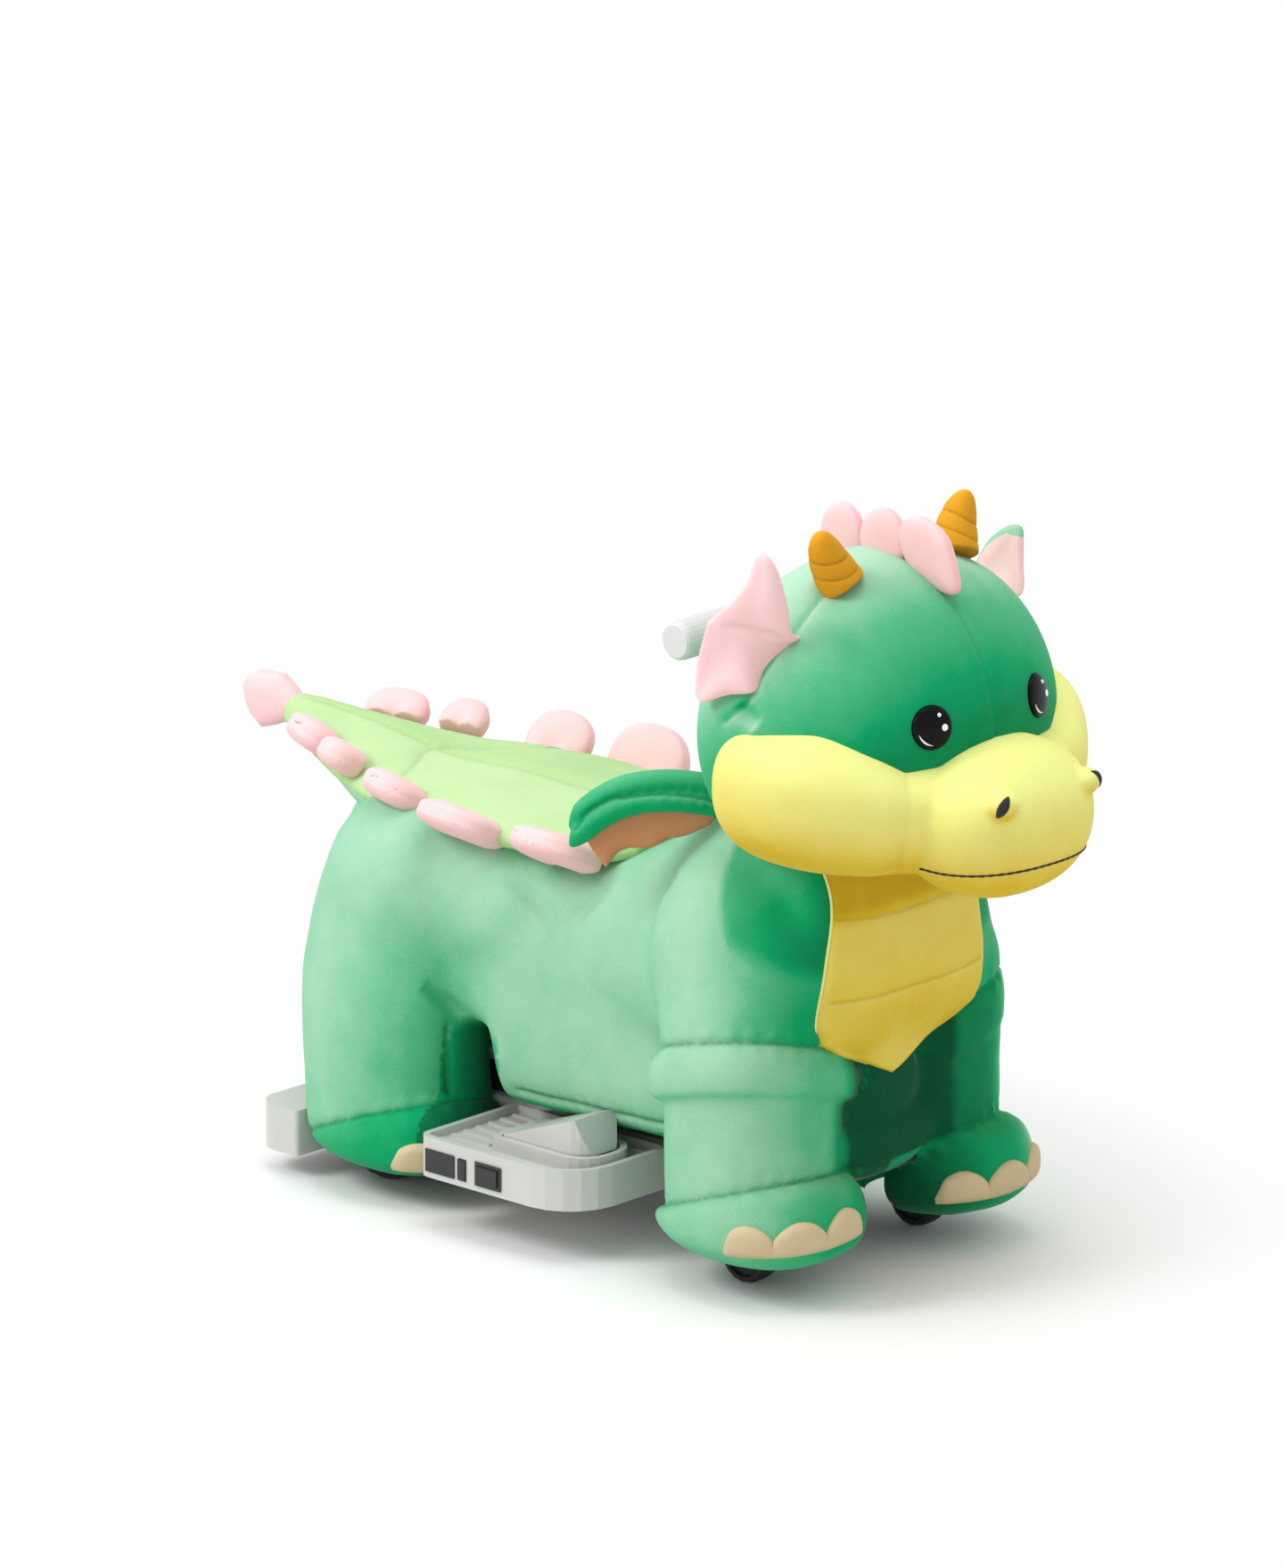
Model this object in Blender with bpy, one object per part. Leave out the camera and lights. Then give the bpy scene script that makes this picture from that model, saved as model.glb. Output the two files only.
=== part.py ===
"""Electric plush ride-on baby dragon: a stuffed animal on a small motorised chassis.

Metres, +Z up, +X forward, +Y the animal's left. The origin is on the floor,
midway between the front and the rear wheels and between the two sides.
"""
import math

import bmesh
import bpy
from mathutils import Matrix, Vector

# Fits
GAP = 0.0003
SKIN_GAP = 0.0006

# Wheels and their places
FRONT_WHEEL_X = 0.215
REAR_WHEEL_X = -0.215
WHEEL_TRACK_Y = 0.108
FRONT_WHEEL_R = 0.026
FRONT_WHEEL_WIDTH = 0.022
FRONT_AXLE_R = 0.003
KINGPIN_X = 0.223
KINGPIN_R = 0.0072
REAR_WHEEL_R = 0.052
REAR_WHEEL_WIDTH = 0.032
AXLE_R = 0.005

# Chassis
BASE_X = (-0.165, 0.135)
BASE_HALF_Y = 0.070
BASE_Z = (0.048, 0.085)
WALL = 0.004
RAIL_Y = 0.050
RAIL_SIZE = 0.020
RAIL_Z = (BASE_Z[1] + GAP, BASE_Z[1] + GAP + RAIL_SIZE)
BEAM_X = (0.203, 0.272)
RAIL_X = (-0.2697, BEAM_X[0] - GAP)
BEAM_HALF_Y = 0.127
BUMPER_X = (-0.322, RAIL_X[0] - GAP)
BUMPER_HALF_Y = 0.172
BUMPER_Z = (0.020, 0.062)

# Footrests
REST_X = (-0.098, 0.088)
REST_Y = (BASE_HALF_Y + GAP, 0.197)
REST_CORNER_R = 0.050
REST_FLOOR_Z = 0.078
REST_RIM = 0.006
REST_RIBS = 7
REST_RIB_PITCH = 0.0155

# Seat support, battery and electronics
SEAT_BOARD_X = (-0.255, 0.025)
SEAT_BOARD_HALF_Y = 0.072
SEAT_BOARD_Z = (0.300, 0.312)
POST_X = {"seat_post_front": -0.005, "seat_post_rear": -0.150}
POST_HALF_X = 0.010
INNER_HALF_Y = 0.034
BATTERY_X = (-0.130, -0.030)
BATTERY_HEIGHT = 0.070
NECK_POST_X = 0.258
NECK_POST_R = 0.012
NECK_POST_TOP_Z = 0.520
CONTROLLER_X = (0.030, 0.100)
CONTROLLER_HALF_Y = 0.028
CONTROLLER_HEIGHT = 0.026

# Steering
STEER_FOOT = Vector((0.2235, 0.0, 0.100))
STEER_HEAD = Vector((0.125, 0.0, 0.556))
STEER_AXIS = (STEER_HEAD - STEER_FOOT).normalized()
COLUMN_R = 0.010
TUBE_R = (0.0115, 0.015)
TUBE_SPAN = (0.0100, 0.4050)
HUB_R = 0.0160
BAR_HALF_Y = 0.108
GRIP_R = 0.0175
GRIP_LENGTH = 0.078
FORK_CROWN_Z = (0.056, 0.064)
STEER_ARM = 0.038
LINK_PIN_R = 0.003
TIE_ROD_Z = (0.0655, 0.0715)

# Pedal and switches on the right footrest
PEDAL_X = (-0.030, 0.070)
PEDAL_HALF_WIDTH = 0.028
PEDAL_Y = -0.135
PEDAL_TOE_Z = 0.122
PEDAL_HEEL_Z = 0.091
PEDAL_TOE_DEG = 20.0
PEDAL_TRAVEL_DEG = 5.0
PEDAL_PIN_R = 0.0020
COLLAR_TOP_Z = 0.0905
COLLAR_WALL = 0.008
PEDAL_PIN = Vector((-0.0245, PEDAL_Y, 0.0850))
ROCKER_X, ROCKER_Z = (-0.028, 0.003), (0.0535, 0.0755)
MODE_X, MODE_Z = (-0.0490, -0.0395), (0.0540, 0.0730)
PLATE_X, PLATE_Z = (-0.088, -0.053), (0.0535, 0.0745)

# Plush forms: stations are (x, half width, lowest z, highest z) of the body
BODY_STATIONS = (
    (-0.305, 0.040, 0.215, 0.300),
    (-0.298, 0.085, 0.160, 0.335),
    (-0.275, 0.114, 0.122, 0.350),
    (-0.220, 0.128, 0.110, 0.351),
    (-0.150, 0.131, 0.128, 0.347),
    (-0.105, 0.130, 0.150, 0.345),
    (-0.055, 0.129, 0.115, 0.344),
    (0.000, 0.128, 0.1075, 0.345),
    (0.055, 0.126, 0.1075, 0.352),
    (0.100, 0.124, 0.1080, 0.382),
    (0.140, 0.122, 0.1085, 0.418),
    (0.185, 0.120, 0.1100, 0.438),
    (0.235, 0.118, 0.1150, 0.440),
    (0.275, 0.112, 0.1350, 0.420),
    (0.296, 0.092, 0.1700, 0.390),
    (0.304, 0.050, 0.2200, 0.340),
)
BODY_SQUARENESS = 2.9
CAVITY_X = (-0.2620, 0.2725)
CAVITY_HALF_Y = 0.0765
CAVITY_TOP_Z = 0.3135

# Legs: stations are (z, centre x, centre y, half length, half width)
FRONT_LEG_STATIONS = (
    (0.0135, 0.236, 0.115, 0.052, 0.050),
    (0.0160, 0.236, 0.115, 0.062, 0.055),
    (0.0230, 0.236, 0.115, 0.080, 0.066),
    (0.0370, 0.236, 0.115, 0.099, 0.081),
    (0.0580, 0.236, 0.115, 0.107, 0.087),
    (0.0800, 0.233, 0.115, 0.101, 0.084),
    (0.1010, 0.228, 0.115, 0.087, 0.080),
    (0.1160, 0.224, 0.115, 0.080, 0.078),
    (0.1650, 0.223, 0.115, 0.080, 0.079),
    (0.1920, 0.223, 0.115, 0.083, 0.082),
    (0.2120, 0.222, 0.115, 0.090, 0.088),
    (0.2280, 0.220, 0.114, 0.088, 0.086),
    (0.2360, 0.217, 0.112, 0.079, 0.078),
    (0.2700, 0.208, 0.104, 0.074, 0.068),
    (0.3050, 0.198, 0.094, 0.060, 0.052),
    (0.3300, 0.190, 0.085, 0.030, 0.030),
)
REAR_LEG_STATIONS = (
    (0.0135, -0.202, 0.115, 0.062, 0.052),
    (0.0160, -0.202, 0.115, 0.070, 0.058),
    (0.0230, -0.202, 0.115, 0.082, 0.068),
    (0.0370, -0.202, 0.115, 0.098, 0.081),
    (0.0560, -0.203, 0.115, 0.103, 0.086),
    (0.0680, -0.206, 0.115, 0.096, 0.085),
    (0.0780, -0.209, 0.115, 0.087, 0.083),
    (0.1200, -0.212, 0.114, 0.085, 0.083),
    (0.1800, -0.214, 0.111, 0.087, 0.082),
    (0.2300, -0.216, 0.106, 0.085, 0.076),
    (0.2750, -0.216, 0.098, 0.074, 0.062),
    (0.3100, -0.214, 0.088, 0.050, 0.046),
    (0.3280, -0.212, 0.080, 0.025, 0.030),
)
LEG_SQUARENESS = 2.25
CLAW_Z = 0.052
CLAW_MIDDLE_DEG = 14.0
CLAW_STEP_DEG = 23.0
CLAW_RADII = (0.0245, 0.0080, 0.0185)
# Where the claws stand: foot's centre x and |y|, and how far out along and across
CLAW_FEET = {"front": (0.236, 0.115, 0.104, 0.084), "rear": (-0.202, 0.115, 0.100, 0.082)}

# Head: the dome is flatter at the back, where the handlebar stands
DOME_CENTRE = Vector((0.266, 0.0, 0.496))
DOME_FRONT, DOME_BACK = 0.143, 0.100
DOME_HALF_Y, DOME_HALF_Z = 0.170, 0.150
CHEEK_CENTRE = Vector((0.285, 0.0, 0.449))
CHEEK_RADII = (0.136, 0.192, 0.078)
CHEEK_FULLNESS = 2.6
CHEEK_BACK = 0.112
SNOUT_CENTRE = Vector((0.407, 0.0, 0.434))
SNOUT_RADII = (0.080, 0.095, 0.070)
NOSTRIL = Vector((0.462, 0.056, 0.468))
NOSTRIL_R = 0.012
EYE_YZ = (0.069, 0.522)
EYE_R = 0.021
EYE_BULGE = 0.0045
HORN_BASE = Vector((0.277, 0.080, 0.618))
HORN_TIP = Vector((0.270, 0.097, 0.677))
HORN_R = 0.018
CREST_RISE = 0.031
CREST_LOBES = ((0.214, 0.641, 0.026), (0.258, 0.646, 0.027), (0.312, 0.638, 0.031))
EAR_ROOT_TOP = Vector((0.272, 0.125, 0.596))
EAR_ROOT_LOW = Vector((0.222, 0.158, 0.540))
EAR_TIP = Vector((0.280, 0.165, 0.672))
EAR_CORNER = Vector((0.200, 0.172, 0.552))
EAR_THICKNESS = 0.014

# Back and tail
SADDLE_STATIONS = (
    (-0.262, 0.096), (-0.240, 0.103), (-0.180, 0.112), (-0.100, 0.117),
    (-0.020, 0.116), (0.030, 0.104), (0.052, 0.080),
)
SADDLE_TOP_Z = 0.3665
SADDLE_DEPTH = 0.036
SADDLE_SQUARENESS = 2.3
TAIL_STATIONS = (
    (-0.250, 0.094, 0.235, 0.356),
    (-0.285, 0.084, 0.250, 0.362),
    (-0.330, 0.066, 0.280, 0.368),
    (-0.375, 0.048, 0.307, 0.371),
    (-0.415, 0.034, 0.329, 0.371),
    (-0.440, 0.024, 0.341, 0.369),
)
TAIL_SQUARENESS = 2.4
TAIL_TIP_CENTRE = Vector((-0.463, 0.0, 0.363))
TAIL_TIP_RADII = (0.032, 0.022, 0.0245)
SCALLOP_PLACES = (
    (-0.012, 0.118, 0.352, 0.046), (-0.118, 0.118, 0.352, 0.046), (-0.212, 0.106, 0.355, 0.040),
    (-0.300, 0.079, 0.362, 0.028), (-0.362, 0.054, 0.366, 0.026),
)

# Wings
WING_ROOT = Vector((0.150, 0.100, 0.424))
WING_CROWN = Vector((0.112, 0.150, 0.440))
WING_END = Vector((0.062, 0.176, 0.396))
WING_ROLL_R = 0.014
WING_MEMBRANE_LOW = (Vector((0.142, 0.108, 0.398)), Vector((0.118, 0.146, 0.392)), Vector((0.100, 0.170, 0.366)))

MINT = (0.20, 0.62, 0.39)
GREEN = (0.03, 0.42, 0.21)
LIME = (0.52, 0.78, 0.36)
YELLOW = (0.88, 0.80, 0.22)
PINK = (0.88, 0.42, 0.46)
GOLD = (0.62, 0.32, 0.05)
CREAM = (0.78, 0.68, 0.50)
TAN = (0.50, 0.24, 0.13)
WHITE_PLASTIC = (0.72, 0.72, 0.70)
BLACK = (0.012, 0.012, 0.014)
PAINTED_STEEL = ("painted_steel", (0.05, 0.05, 0.055), 0.4, 0.6)
BRIGHT_STEEL = ("steel", (0.55, 0.56, 0.58), 0.3, 1.0)

SOFT_SEGMENTS = 20


def clear_scene():
    for item in list(bpy.data.objects):
        bpy.data.objects.remove(item, do_unlink=True)


def collection(name):
    group = bpy.data.collections.get(name) or bpy.data.collections.new(name)
    if group.name not in bpy.context.scene.collection.children:
        bpy.context.scene.collection.children.link(group)
    return group


def material(name, colour, roughness, metallic=0.0):
    made = bpy.data.materials.get(name)
    if made:
        return made
    made = bpy.data.materials.new(name)
    made.use_nodes = True
    shader = made.node_tree.nodes["Principled BSDF"]
    shader.inputs["Base Color"].default_value = (*colour, 1.0)
    shader.inputs["Roughness"].default_value = roughness
    shader.inputs["Metallic"].default_value = metallic
    made.diffuse_color = (*colour, 1.0)
    return made


def plush(name, colour):
    return material(name, colour, 0.95)


def plastic(name, colour, roughness=0.45):
    return material(name, colour, roughness)


def place(name, bm, finish=None, smooth=True, group=None):
    """Make an object from a bmesh, in the model's collection or in the cutters' one."""
    bmesh.ops.recalc_face_normals(bm, faces=bm.faces)
    mesh = bpy.data.meshes.new(name)
    bm.to_mesh(mesh)
    bm.free()
    if finish:
        mesh.materials.append(finish)
    if smooth:
        mesh.shade_smooth()
        mesh.set_sharp_from_angle(angle=math.radians(40))
    made = bpy.data.objects.new(name, mesh)
    (group or collection("ride_on_dragon")).objects.link(made)
    return made


def cutter(name, bm, grow=0.0):
    """A hidden guide solid, grown along its normals by the clearance it must leave."""
    bmesh.ops.recalc_face_normals(bm, faces=bm.faces)
    bm.normal_update()
    if grow:
        moves = [(v, v.normal * grow) for v in bm.verts]
        for vert, move in moves:
            vert.co += move
    made = place(name, bm, smooth=False, group=collection("cutters"))
    made.hide_render = True
    made.display_type = "WIRE"
    return made


def combine(target, tool, operation, solver="EXACT"):
    change = target.modifiers.new(tool.name, "BOOLEAN")
    change.operation = operation
    change.solver = solver
    change.object = tool


def cut(target, *tools, solver="EXACT"):
    for tool in tools:
        combine(target, tool, "DIFFERENCE", solver)


def add(target, *tools):
    for tool in tools:
        combine(target, tool, "UNION")


def box_form(low, high, bevel=0.0, segments=2):
    bm = bmesh.new()
    low, high = Vector(low), Vector(high)
    matrix = Matrix.Translation((low + high) / 2) @ Matrix.Diagonal((*(high - low), 1.0))
    bmesh.ops.create_cube(bm, size=1.0, matrix=matrix)
    if bevel:
        bmesh.ops.bevel(bm, geom=list(bm.edges), offset=bevel, segments=segments, affect="EDGES", profile=0.5)
    return bm


def rod_form(start, end, radius, radius_end=None, segments=20):
    """A closed cylinder or cone frustum between two points."""
    start, end = Vector(start), Vector(end)
    span = end - start
    turn = span.to_track_quat("Z", "Y").to_matrix().to_4x4()
    bm = bmesh.new()
    bmesh.ops.create_cone(
        bm, cap_ends=True, segments=segments, radius1=radius,
        radius2=radius if radius_end is None else radius_end, depth=span.length,
        matrix=Matrix.Translation((start + end) / 2) @ turn,
    )
    return bm


def ball_form(centre, radii, segments=SOFT_SEGMENTS, rings=11):
    bm = bmesh.new()
    matrix = Matrix.Translation(centre) @ Matrix.Diagonal((*radii, 1.0))
    bmesh.ops.create_uvsphere(bm, u_segments=segments, v_segments=rings, radius=1.0, matrix=matrix)
    return bm


def superellipse(angle, power):
    c, s = math.cos(angle), math.sin(angle)
    return (
        math.copysign(abs(c) ** (2.0 / power), c),
        math.copysign(abs(s) ** (2.0 / power), s),
    )


def blend_stations(stations, steps):
    """Catmull-Rom points between the stations, steps to each gap."""
    points = [Vector(s) for s in stations]
    ends = [points[0] * 2 - points[1]] + points + [points[-1] * 2 - points[-2]]
    result = []
    for i in range(1, len(ends) - 2):
        a, b, c, d = ends[i - 1:i + 3]
        for k in range(steps):
            t = k / steps
            result.append(
                0.5 * (2 * b + (c - a) * t + (2 * a - 5 * b + 4 * c - d) * t * t
                       + (3 * b - a - 3 * c + d) * t ** 3)
            )
    return result + [points[-1]]


def loft_form(rings):
    """Skin a row of rings of equal count and cap both ends."""
    bm = bmesh.new()
    rows = [[bm.verts.new(p) for p in ring] for ring in rings]
    count = len(rows[0])
    for low, high in zip(rows, rows[1:]):
        for i in range(count):
            j = (i + 1) % count
            bm.faces.new((low[i], low[j], high[j], high[i]))
    bm.faces.new(rows[0])
    bm.faces.new(rows[-1])
    return bm


def ring_angles(count):
    return [2 * math.pi * (i + 0.5) / count for i in range(count)]


def length_loft(stations, power, segments=SOFT_SEGMENTS):
    """A form along X from stations (x, half width, lowest z, highest z)."""
    rings = []
    for x, half, low, high in stations:
        mid, rise = (low + high) / 2, (high - low) / 2
        shape = [superellipse(a, power) for a in ring_angles(segments)]
        rings.append([(x, half * c, mid + rise * s) for c, s in shape])
    return loft_form(rings)


def height_loft(stations, side, power, segments=SOFT_SEGMENTS):
    """A form up Z from stations (z, centre x, centre y, half length, half width)."""
    rings = []
    for z, cx, cy, a, b in stations:
        shape = [superellipse(angle, power) for angle in ring_angles(segments)]
        rings.append([(cx + a * c, side * cy + b * s, z) for c, s in shape])
    return loft_form(rings)


def flat_form(outline, thickness, normal):
    """A flat panel with a raised middle, from an outline and its thickness."""
    points = [Vector(p) for p in outline]
    centre = sum(points, Vector()) / len(points)
    inner = [centre + (p - centre) * 0.72 for p in points]
    half = Vector(normal).normalized() * thickness / 2
    bm = bmesh.new()
    rim = [bm.verts.new(p) for p in points]
    faces = []
    for offset in (half, -half):
        shell = [bm.verts.new(p + offset) for p in inner]
        for i in range(len(rim)):
            j = (i + 1) % len(rim)
            faces.append(bm.faces.new((rim[i], rim[j], shell[j], shell[i])))
        bm.faces.new(shell)
    return bm


def sided(point, side):
    """A point given for the animal's left side, moved to the asked side."""
    return Vector((point[0], side * point[1], point[2]))


SIDES = (("right", -1), ("left", 1))


def plate_form(x_span, y_span, z_span, radii, arc_steps=5):
    """A flat plate whose four corners, from low x and y anticlockwise, have their own radii."""
    (x0, x1), (y0, y1) = x_span, y_span
    corners = (((x0, y0), 180), ((x1, y0), 270), ((x1, y1), 0), ((x0, y1), 90))
    outline = []
    for ((x, y), start), radius in zip(corners, radii):
        cx = x + radius * (1 if x == x0 else -1)
        cy = y + radius * (1 if y == y0 else -1)
        for k in range(arc_steps + 1):
            angle = math.radians(start + 90 * k / arc_steps)
            outline.append((cx + radius * math.cos(angle), cy + radius * math.sin(angle)))
    return loft_form([[(x, y, z) for x, y in outline] for z in z_span])


def axis_loft(centres, radii, segments=12):
    """A round form along a path, with its own radius at each point."""
    points = [Vector(c) for c in centres]
    side = Vector((0, 0, 1))
    rings = []
    for i, (point, radius) in enumerate(zip(points, radii)):
        along = points[min(i + 1, len(points) - 1)] - points[max(i - 1, 0)]
        first = along.cross(side).normalized() if along.cross(side).length > 1e-6 else Vector((1, 0, 0))
        second = along.cross(first).normalized()
        rings.append([
            point + first * radius * math.cos(a) + second * radius * math.sin(a)
            for a in ring_angles(segments)
        ])
    return loft_form(rings)


def flatten_back(bm, centre, front, back, half_y, half_z, power, fullness=2.0):
    """Give a unit ball its front and back depths, with a squarer plan behind.

    A fullness over 2 squares its upright section, as stuffing fills a band."""
    for vert in bm.verts:
        x, y, z = vert.co
        reach = math.hypot(x, y)
        if reach > 1e-6:
            out, up = superellipse(math.atan2(z, reach), fullness)
            x, y, z = x * out / reach, y * out / reach, up
        if x < 0:
            reach = math.hypot(x, y)
            c, s = superellipse(math.atan2(y, -x), power)
            x, y = -reach * c * back, reach * s * half_y
        else:
            x, y = x * front, y * half_y
        vert.co = Vector((x, y, z * half_z)) + centre
    return bm


def body_form():
    return length_loft(BODY_STATIONS, BODY_SQUARENESS)


def dome_form():
    bm = ball_form((0, 0, 0), (1, 1, 1))
    return flatten_back(bm, DOME_CENTRE, DOME_FRONT, DOME_BACK, DOME_HALF_Y, DOME_HALF_Z, 2.8)


def cheek_form():
    bm = ball_form((0, 0, 0), (1, 1, 1), rings=10)
    front, half_y, half_z = CHEEK_RADII
    return flatten_back(bm, CHEEK_CENTRE, front, CHEEK_BACK, half_y, half_z, 2.8, CHEEK_FULLNESS)


def dome_x(y, z):
    """The front of the dome at a height and a distance from the middle."""
    inside = 1 - (y / DOME_HALF_Y) ** 2 - ((z - DOME_CENTRE.z) / DOME_HALF_Z) ** 2
    return DOME_CENTRE.x + DOME_FRONT * math.sqrt(inside)


def build_chassis():
    grey = plastic("white_plastic", WHITE_PLASTIC)
    steel = material(*PAINTED_STEEL)
    low = (BASE_X[0], -BASE_HALF_Y, BASE_Z[0])
    high = (BASE_X[1], BASE_HALF_Y, BASE_Z[1])
    base = place("chassis_base", box_form(low, high, 0.004), grey, smooth=False)
    hollow = box_form(
        (low[0] + WALL, low[1] + WALL, low[2] - WALL), (high[0] - WALL, high[1] - WALL, high[2] - WALL))
    cut(base, cutter("base_hollow", hollow))

    bumper = plate_form(BUMPER_X, (-BUMPER_HALF_Y, BUMPER_HALF_Y), BUMPER_Z, (0.024, 0.004, 0.004, 0.024))
    bumper = place("rear_bumper", bumper, grey)
    inside = plate_form(
        (BUMPER_X[0] + WALL, BUMPER_X[1] - WALL), (WALL - BUMPER_HALF_Y, BUMPER_HALF_Y - WALL),
        (BUMPER_Z[0] - WALL, BUMPER_Z[1] - WALL), (0.020, 0.002, 0.002, 0.020))
    cut(bumper, cutter("bumper_hollow", inside))

    for name, side in SIDES:
        y = side * RAIL_Y
        half = RAIL_SIZE / 2
        rail = place(f"frame_rail_{name}", box_form(
            (RAIL_X[0], y - half, RAIL_Z[0]), (RAIL_X[1], y + half, RAIL_Z[1]), 0.002), steel, smooth=False)
        bore = box_form(
            (RAIL_X[0] - WALL, y - half + 0.002, RAIL_Z[0] + 0.002),
            (RAIL_X[1] + WALL, y + half - 0.002, RAIL_Z[1] - 0.002))
        cut(rail, cutter(f"rail_bore_{name}", bore))

    beam = place("front_crossbeam", plate_form(
        BEAM_X, (-BEAM_HALF_Y, BEAM_HALF_Y), RAIL_Z, (0.008,) * 4, arc_steps=3), steel, smooth=False)
    for name, side in SIDES:
        pin = Vector((KINGPIN_X, side * WHEEL_TRACK_Y, 0))
        cut(beam, cutter(f"kingpin_bore_{name}", rod_form(
            pin + Vector((0, 0, 0.07)), pin + Vector((0, 0, 0.12)), KINGPIN_R + SKIN_GAP, segments=16)))
    cut(beam, cutter("column_bore", rod_form(
        STEER_FOOT - STEER_AXIS * 0.03, STEER_FOOT + STEER_AXIS * 0.02, COLUMN_R + 0.0015)))


def inset(span, distance):
    return span[0] + distance, span[1] - distance


def build_footrests():
    grey = plastic("white_plastic", WHITE_PLASTIC)
    for name, side in SIDES:
        near, far = (side * REST_Y[0], side * REST_Y[1])
        span = tuple(sorted((near, far)))
        outer_first = side < 0
        radii = (0.012, REST_CORNER_R, 0.003, 0.003) if outer_first else (0.003, 0.003, REST_CORNER_R, 0.012)
        rest = place(f"footrest_{name}", plate_form(REST_X, span, BASE_Z, radii), grey)
        round_inner = tuple(max(r - REST_RIM, 0.002) for r in radii)
        tray_z = (REST_FLOOR_Z, BASE_Z[1] + REST_RIM)
        tray = plate_form(inset(REST_X, REST_RIM), inset(span, REST_RIM), tray_z, round_inner)
        below_z = (BASE_Z[0] - WALL, REST_FLOOR_Z - WALL)
        below = plate_form(inset(REST_X, WALL), inset(span, WALL), below_z, round_inner)
        cut(rest, cutter(f"tray_recess_{name}", tray), cutter(f"tray_hollow_{name}", below))
        for k in range(REST_RIBS):
            y = side * (REST_Y[0] + 0.016 + k * REST_RIB_PITCH)
            if side < 0 and abs(y - PEDAL_Y) < PEDAL_HALF_WIDTH + 0.010:
                ends = (REST_X[0] + 0.010, PEDAL_X[0] - 0.012)
            else:
                ends = (REST_X[0] + 0.010, REST_X[1] - (0.014 if k < REST_RIBS - 2 else 0.036))
            rib = box_form((ends[0], y - 0.002, REST_FLOOR_Z - 0.001), (ends[1], y + 0.002, REST_FLOOR_Z + 0.002))
            add(rest, cutter(f"rib_{name}_{k}", rib))
        if side < 0:
            build_pedal(rest)
            build_switches(rest)


def pedal_outline(grow, front=0.0):
    """The D-shaped plan of the pedal or of the collar round it."""
    return (
        (PEDAL_X[0] - grow, PEDAL_X[1] + grow + front),
        (PEDAL_Y - PEDAL_HALF_WIDTH - grow, PEDAL_Y + PEDAL_HALF_WIDTH + grow),
    )


def build_pedal(rest):
    grey = plastic("white_plastic", WHITE_PLASTIC)
    d_corners = (0.006, 0.024, 0.024, 0.006)
    wide = (0.010, 0.030, 0.030, 0.010)
    collar_z = (REST_FLOOR_Z - 0.001, COLLAR_TOP_Z)
    add(rest, cutter("pedal_collar", plate_form(*pedal_outline(COLLAR_WALL), collar_z, wide)))
    cut(rest, cutter("pedal_well", plate_form(
        *pedal_outline(0.0012, 0.0015), (REST_FLOOR_Z + 0.0004, COLLAR_TOP_Z + 0.01), d_corners)))

    pedal = place("accelerator_pedal", plate_form(
        *pedal_outline(0.0), (REST_FLOOR_Z + 0.002, PEDAL_TOE_Z), d_corners), grey)
    length = PEDAL_X[1] - PEDAL_X[0]
    slope = math.atan2(PEDAL_TOE_Z - PEDAL_HEEL_Z, length * 0.86)
    heel = Vector((PEDAL_X[0], PEDAL_Y, PEDAL_HEEL_Z))
    above = box_form((-0.02, -0.05, 0.0), (0.20, 0.05, 0.10))
    above.transform(Matrix.Translation(heel) @ Matrix.Rotation(-slope, 4, "Y"))
    toe = box_form((0.0, -0.05, -0.05), (0.10, 0.05, 0.08))
    toe_foot = Matrix.Translation((PEDAL_X[1] - 0.001, PEDAL_Y, 0.086))
    toe.transform(toe_foot @ Matrix.Rotation(math.radians(-PEDAL_TOE_DEG), 4, "Y"))
    under = box_form((-0.02, -0.05, -0.10), (0.20, 0.05, 0.0))
    under.transform(
        Matrix.Translation((PEDAL_X[0], PEDAL_Y, REST_FLOOR_Z + 0.002))
        @ Matrix.Rotation(-math.radians(PEDAL_TRAVEL_DEG + 0.6), 4, "Y"))
    cut(pedal, cutter("pedal_top_cut", above), cutter("pedal_toe_cut", toe), cutter("pedal_under_cut", under))
    reach = PEDAL_HALF_WIDTH + 0.0062
    ends = [PEDAL_PIN + Vector((0, s * reach, 0)) for s in (-1, 1)]
    place("pedal_pin", rod_form(*ends, PEDAL_PIN_R, segments=12), material(*BRIGHT_STEEL))
    bore_ends = [PEDAL_PIN + Vector((0, s * (reach + GAP), 0)) for s in (-1, 1)]
    cut(pedal, cutter("pedal_pin_bore", rod_form(*bore_ends, PEDAL_PIN_R + 0.0004, segments=12)))
    cut(rest, cutter("collar_pin_bore", rod_form(*bore_ends, PEDAL_PIN_R + GAP, segments=12)))


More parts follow.
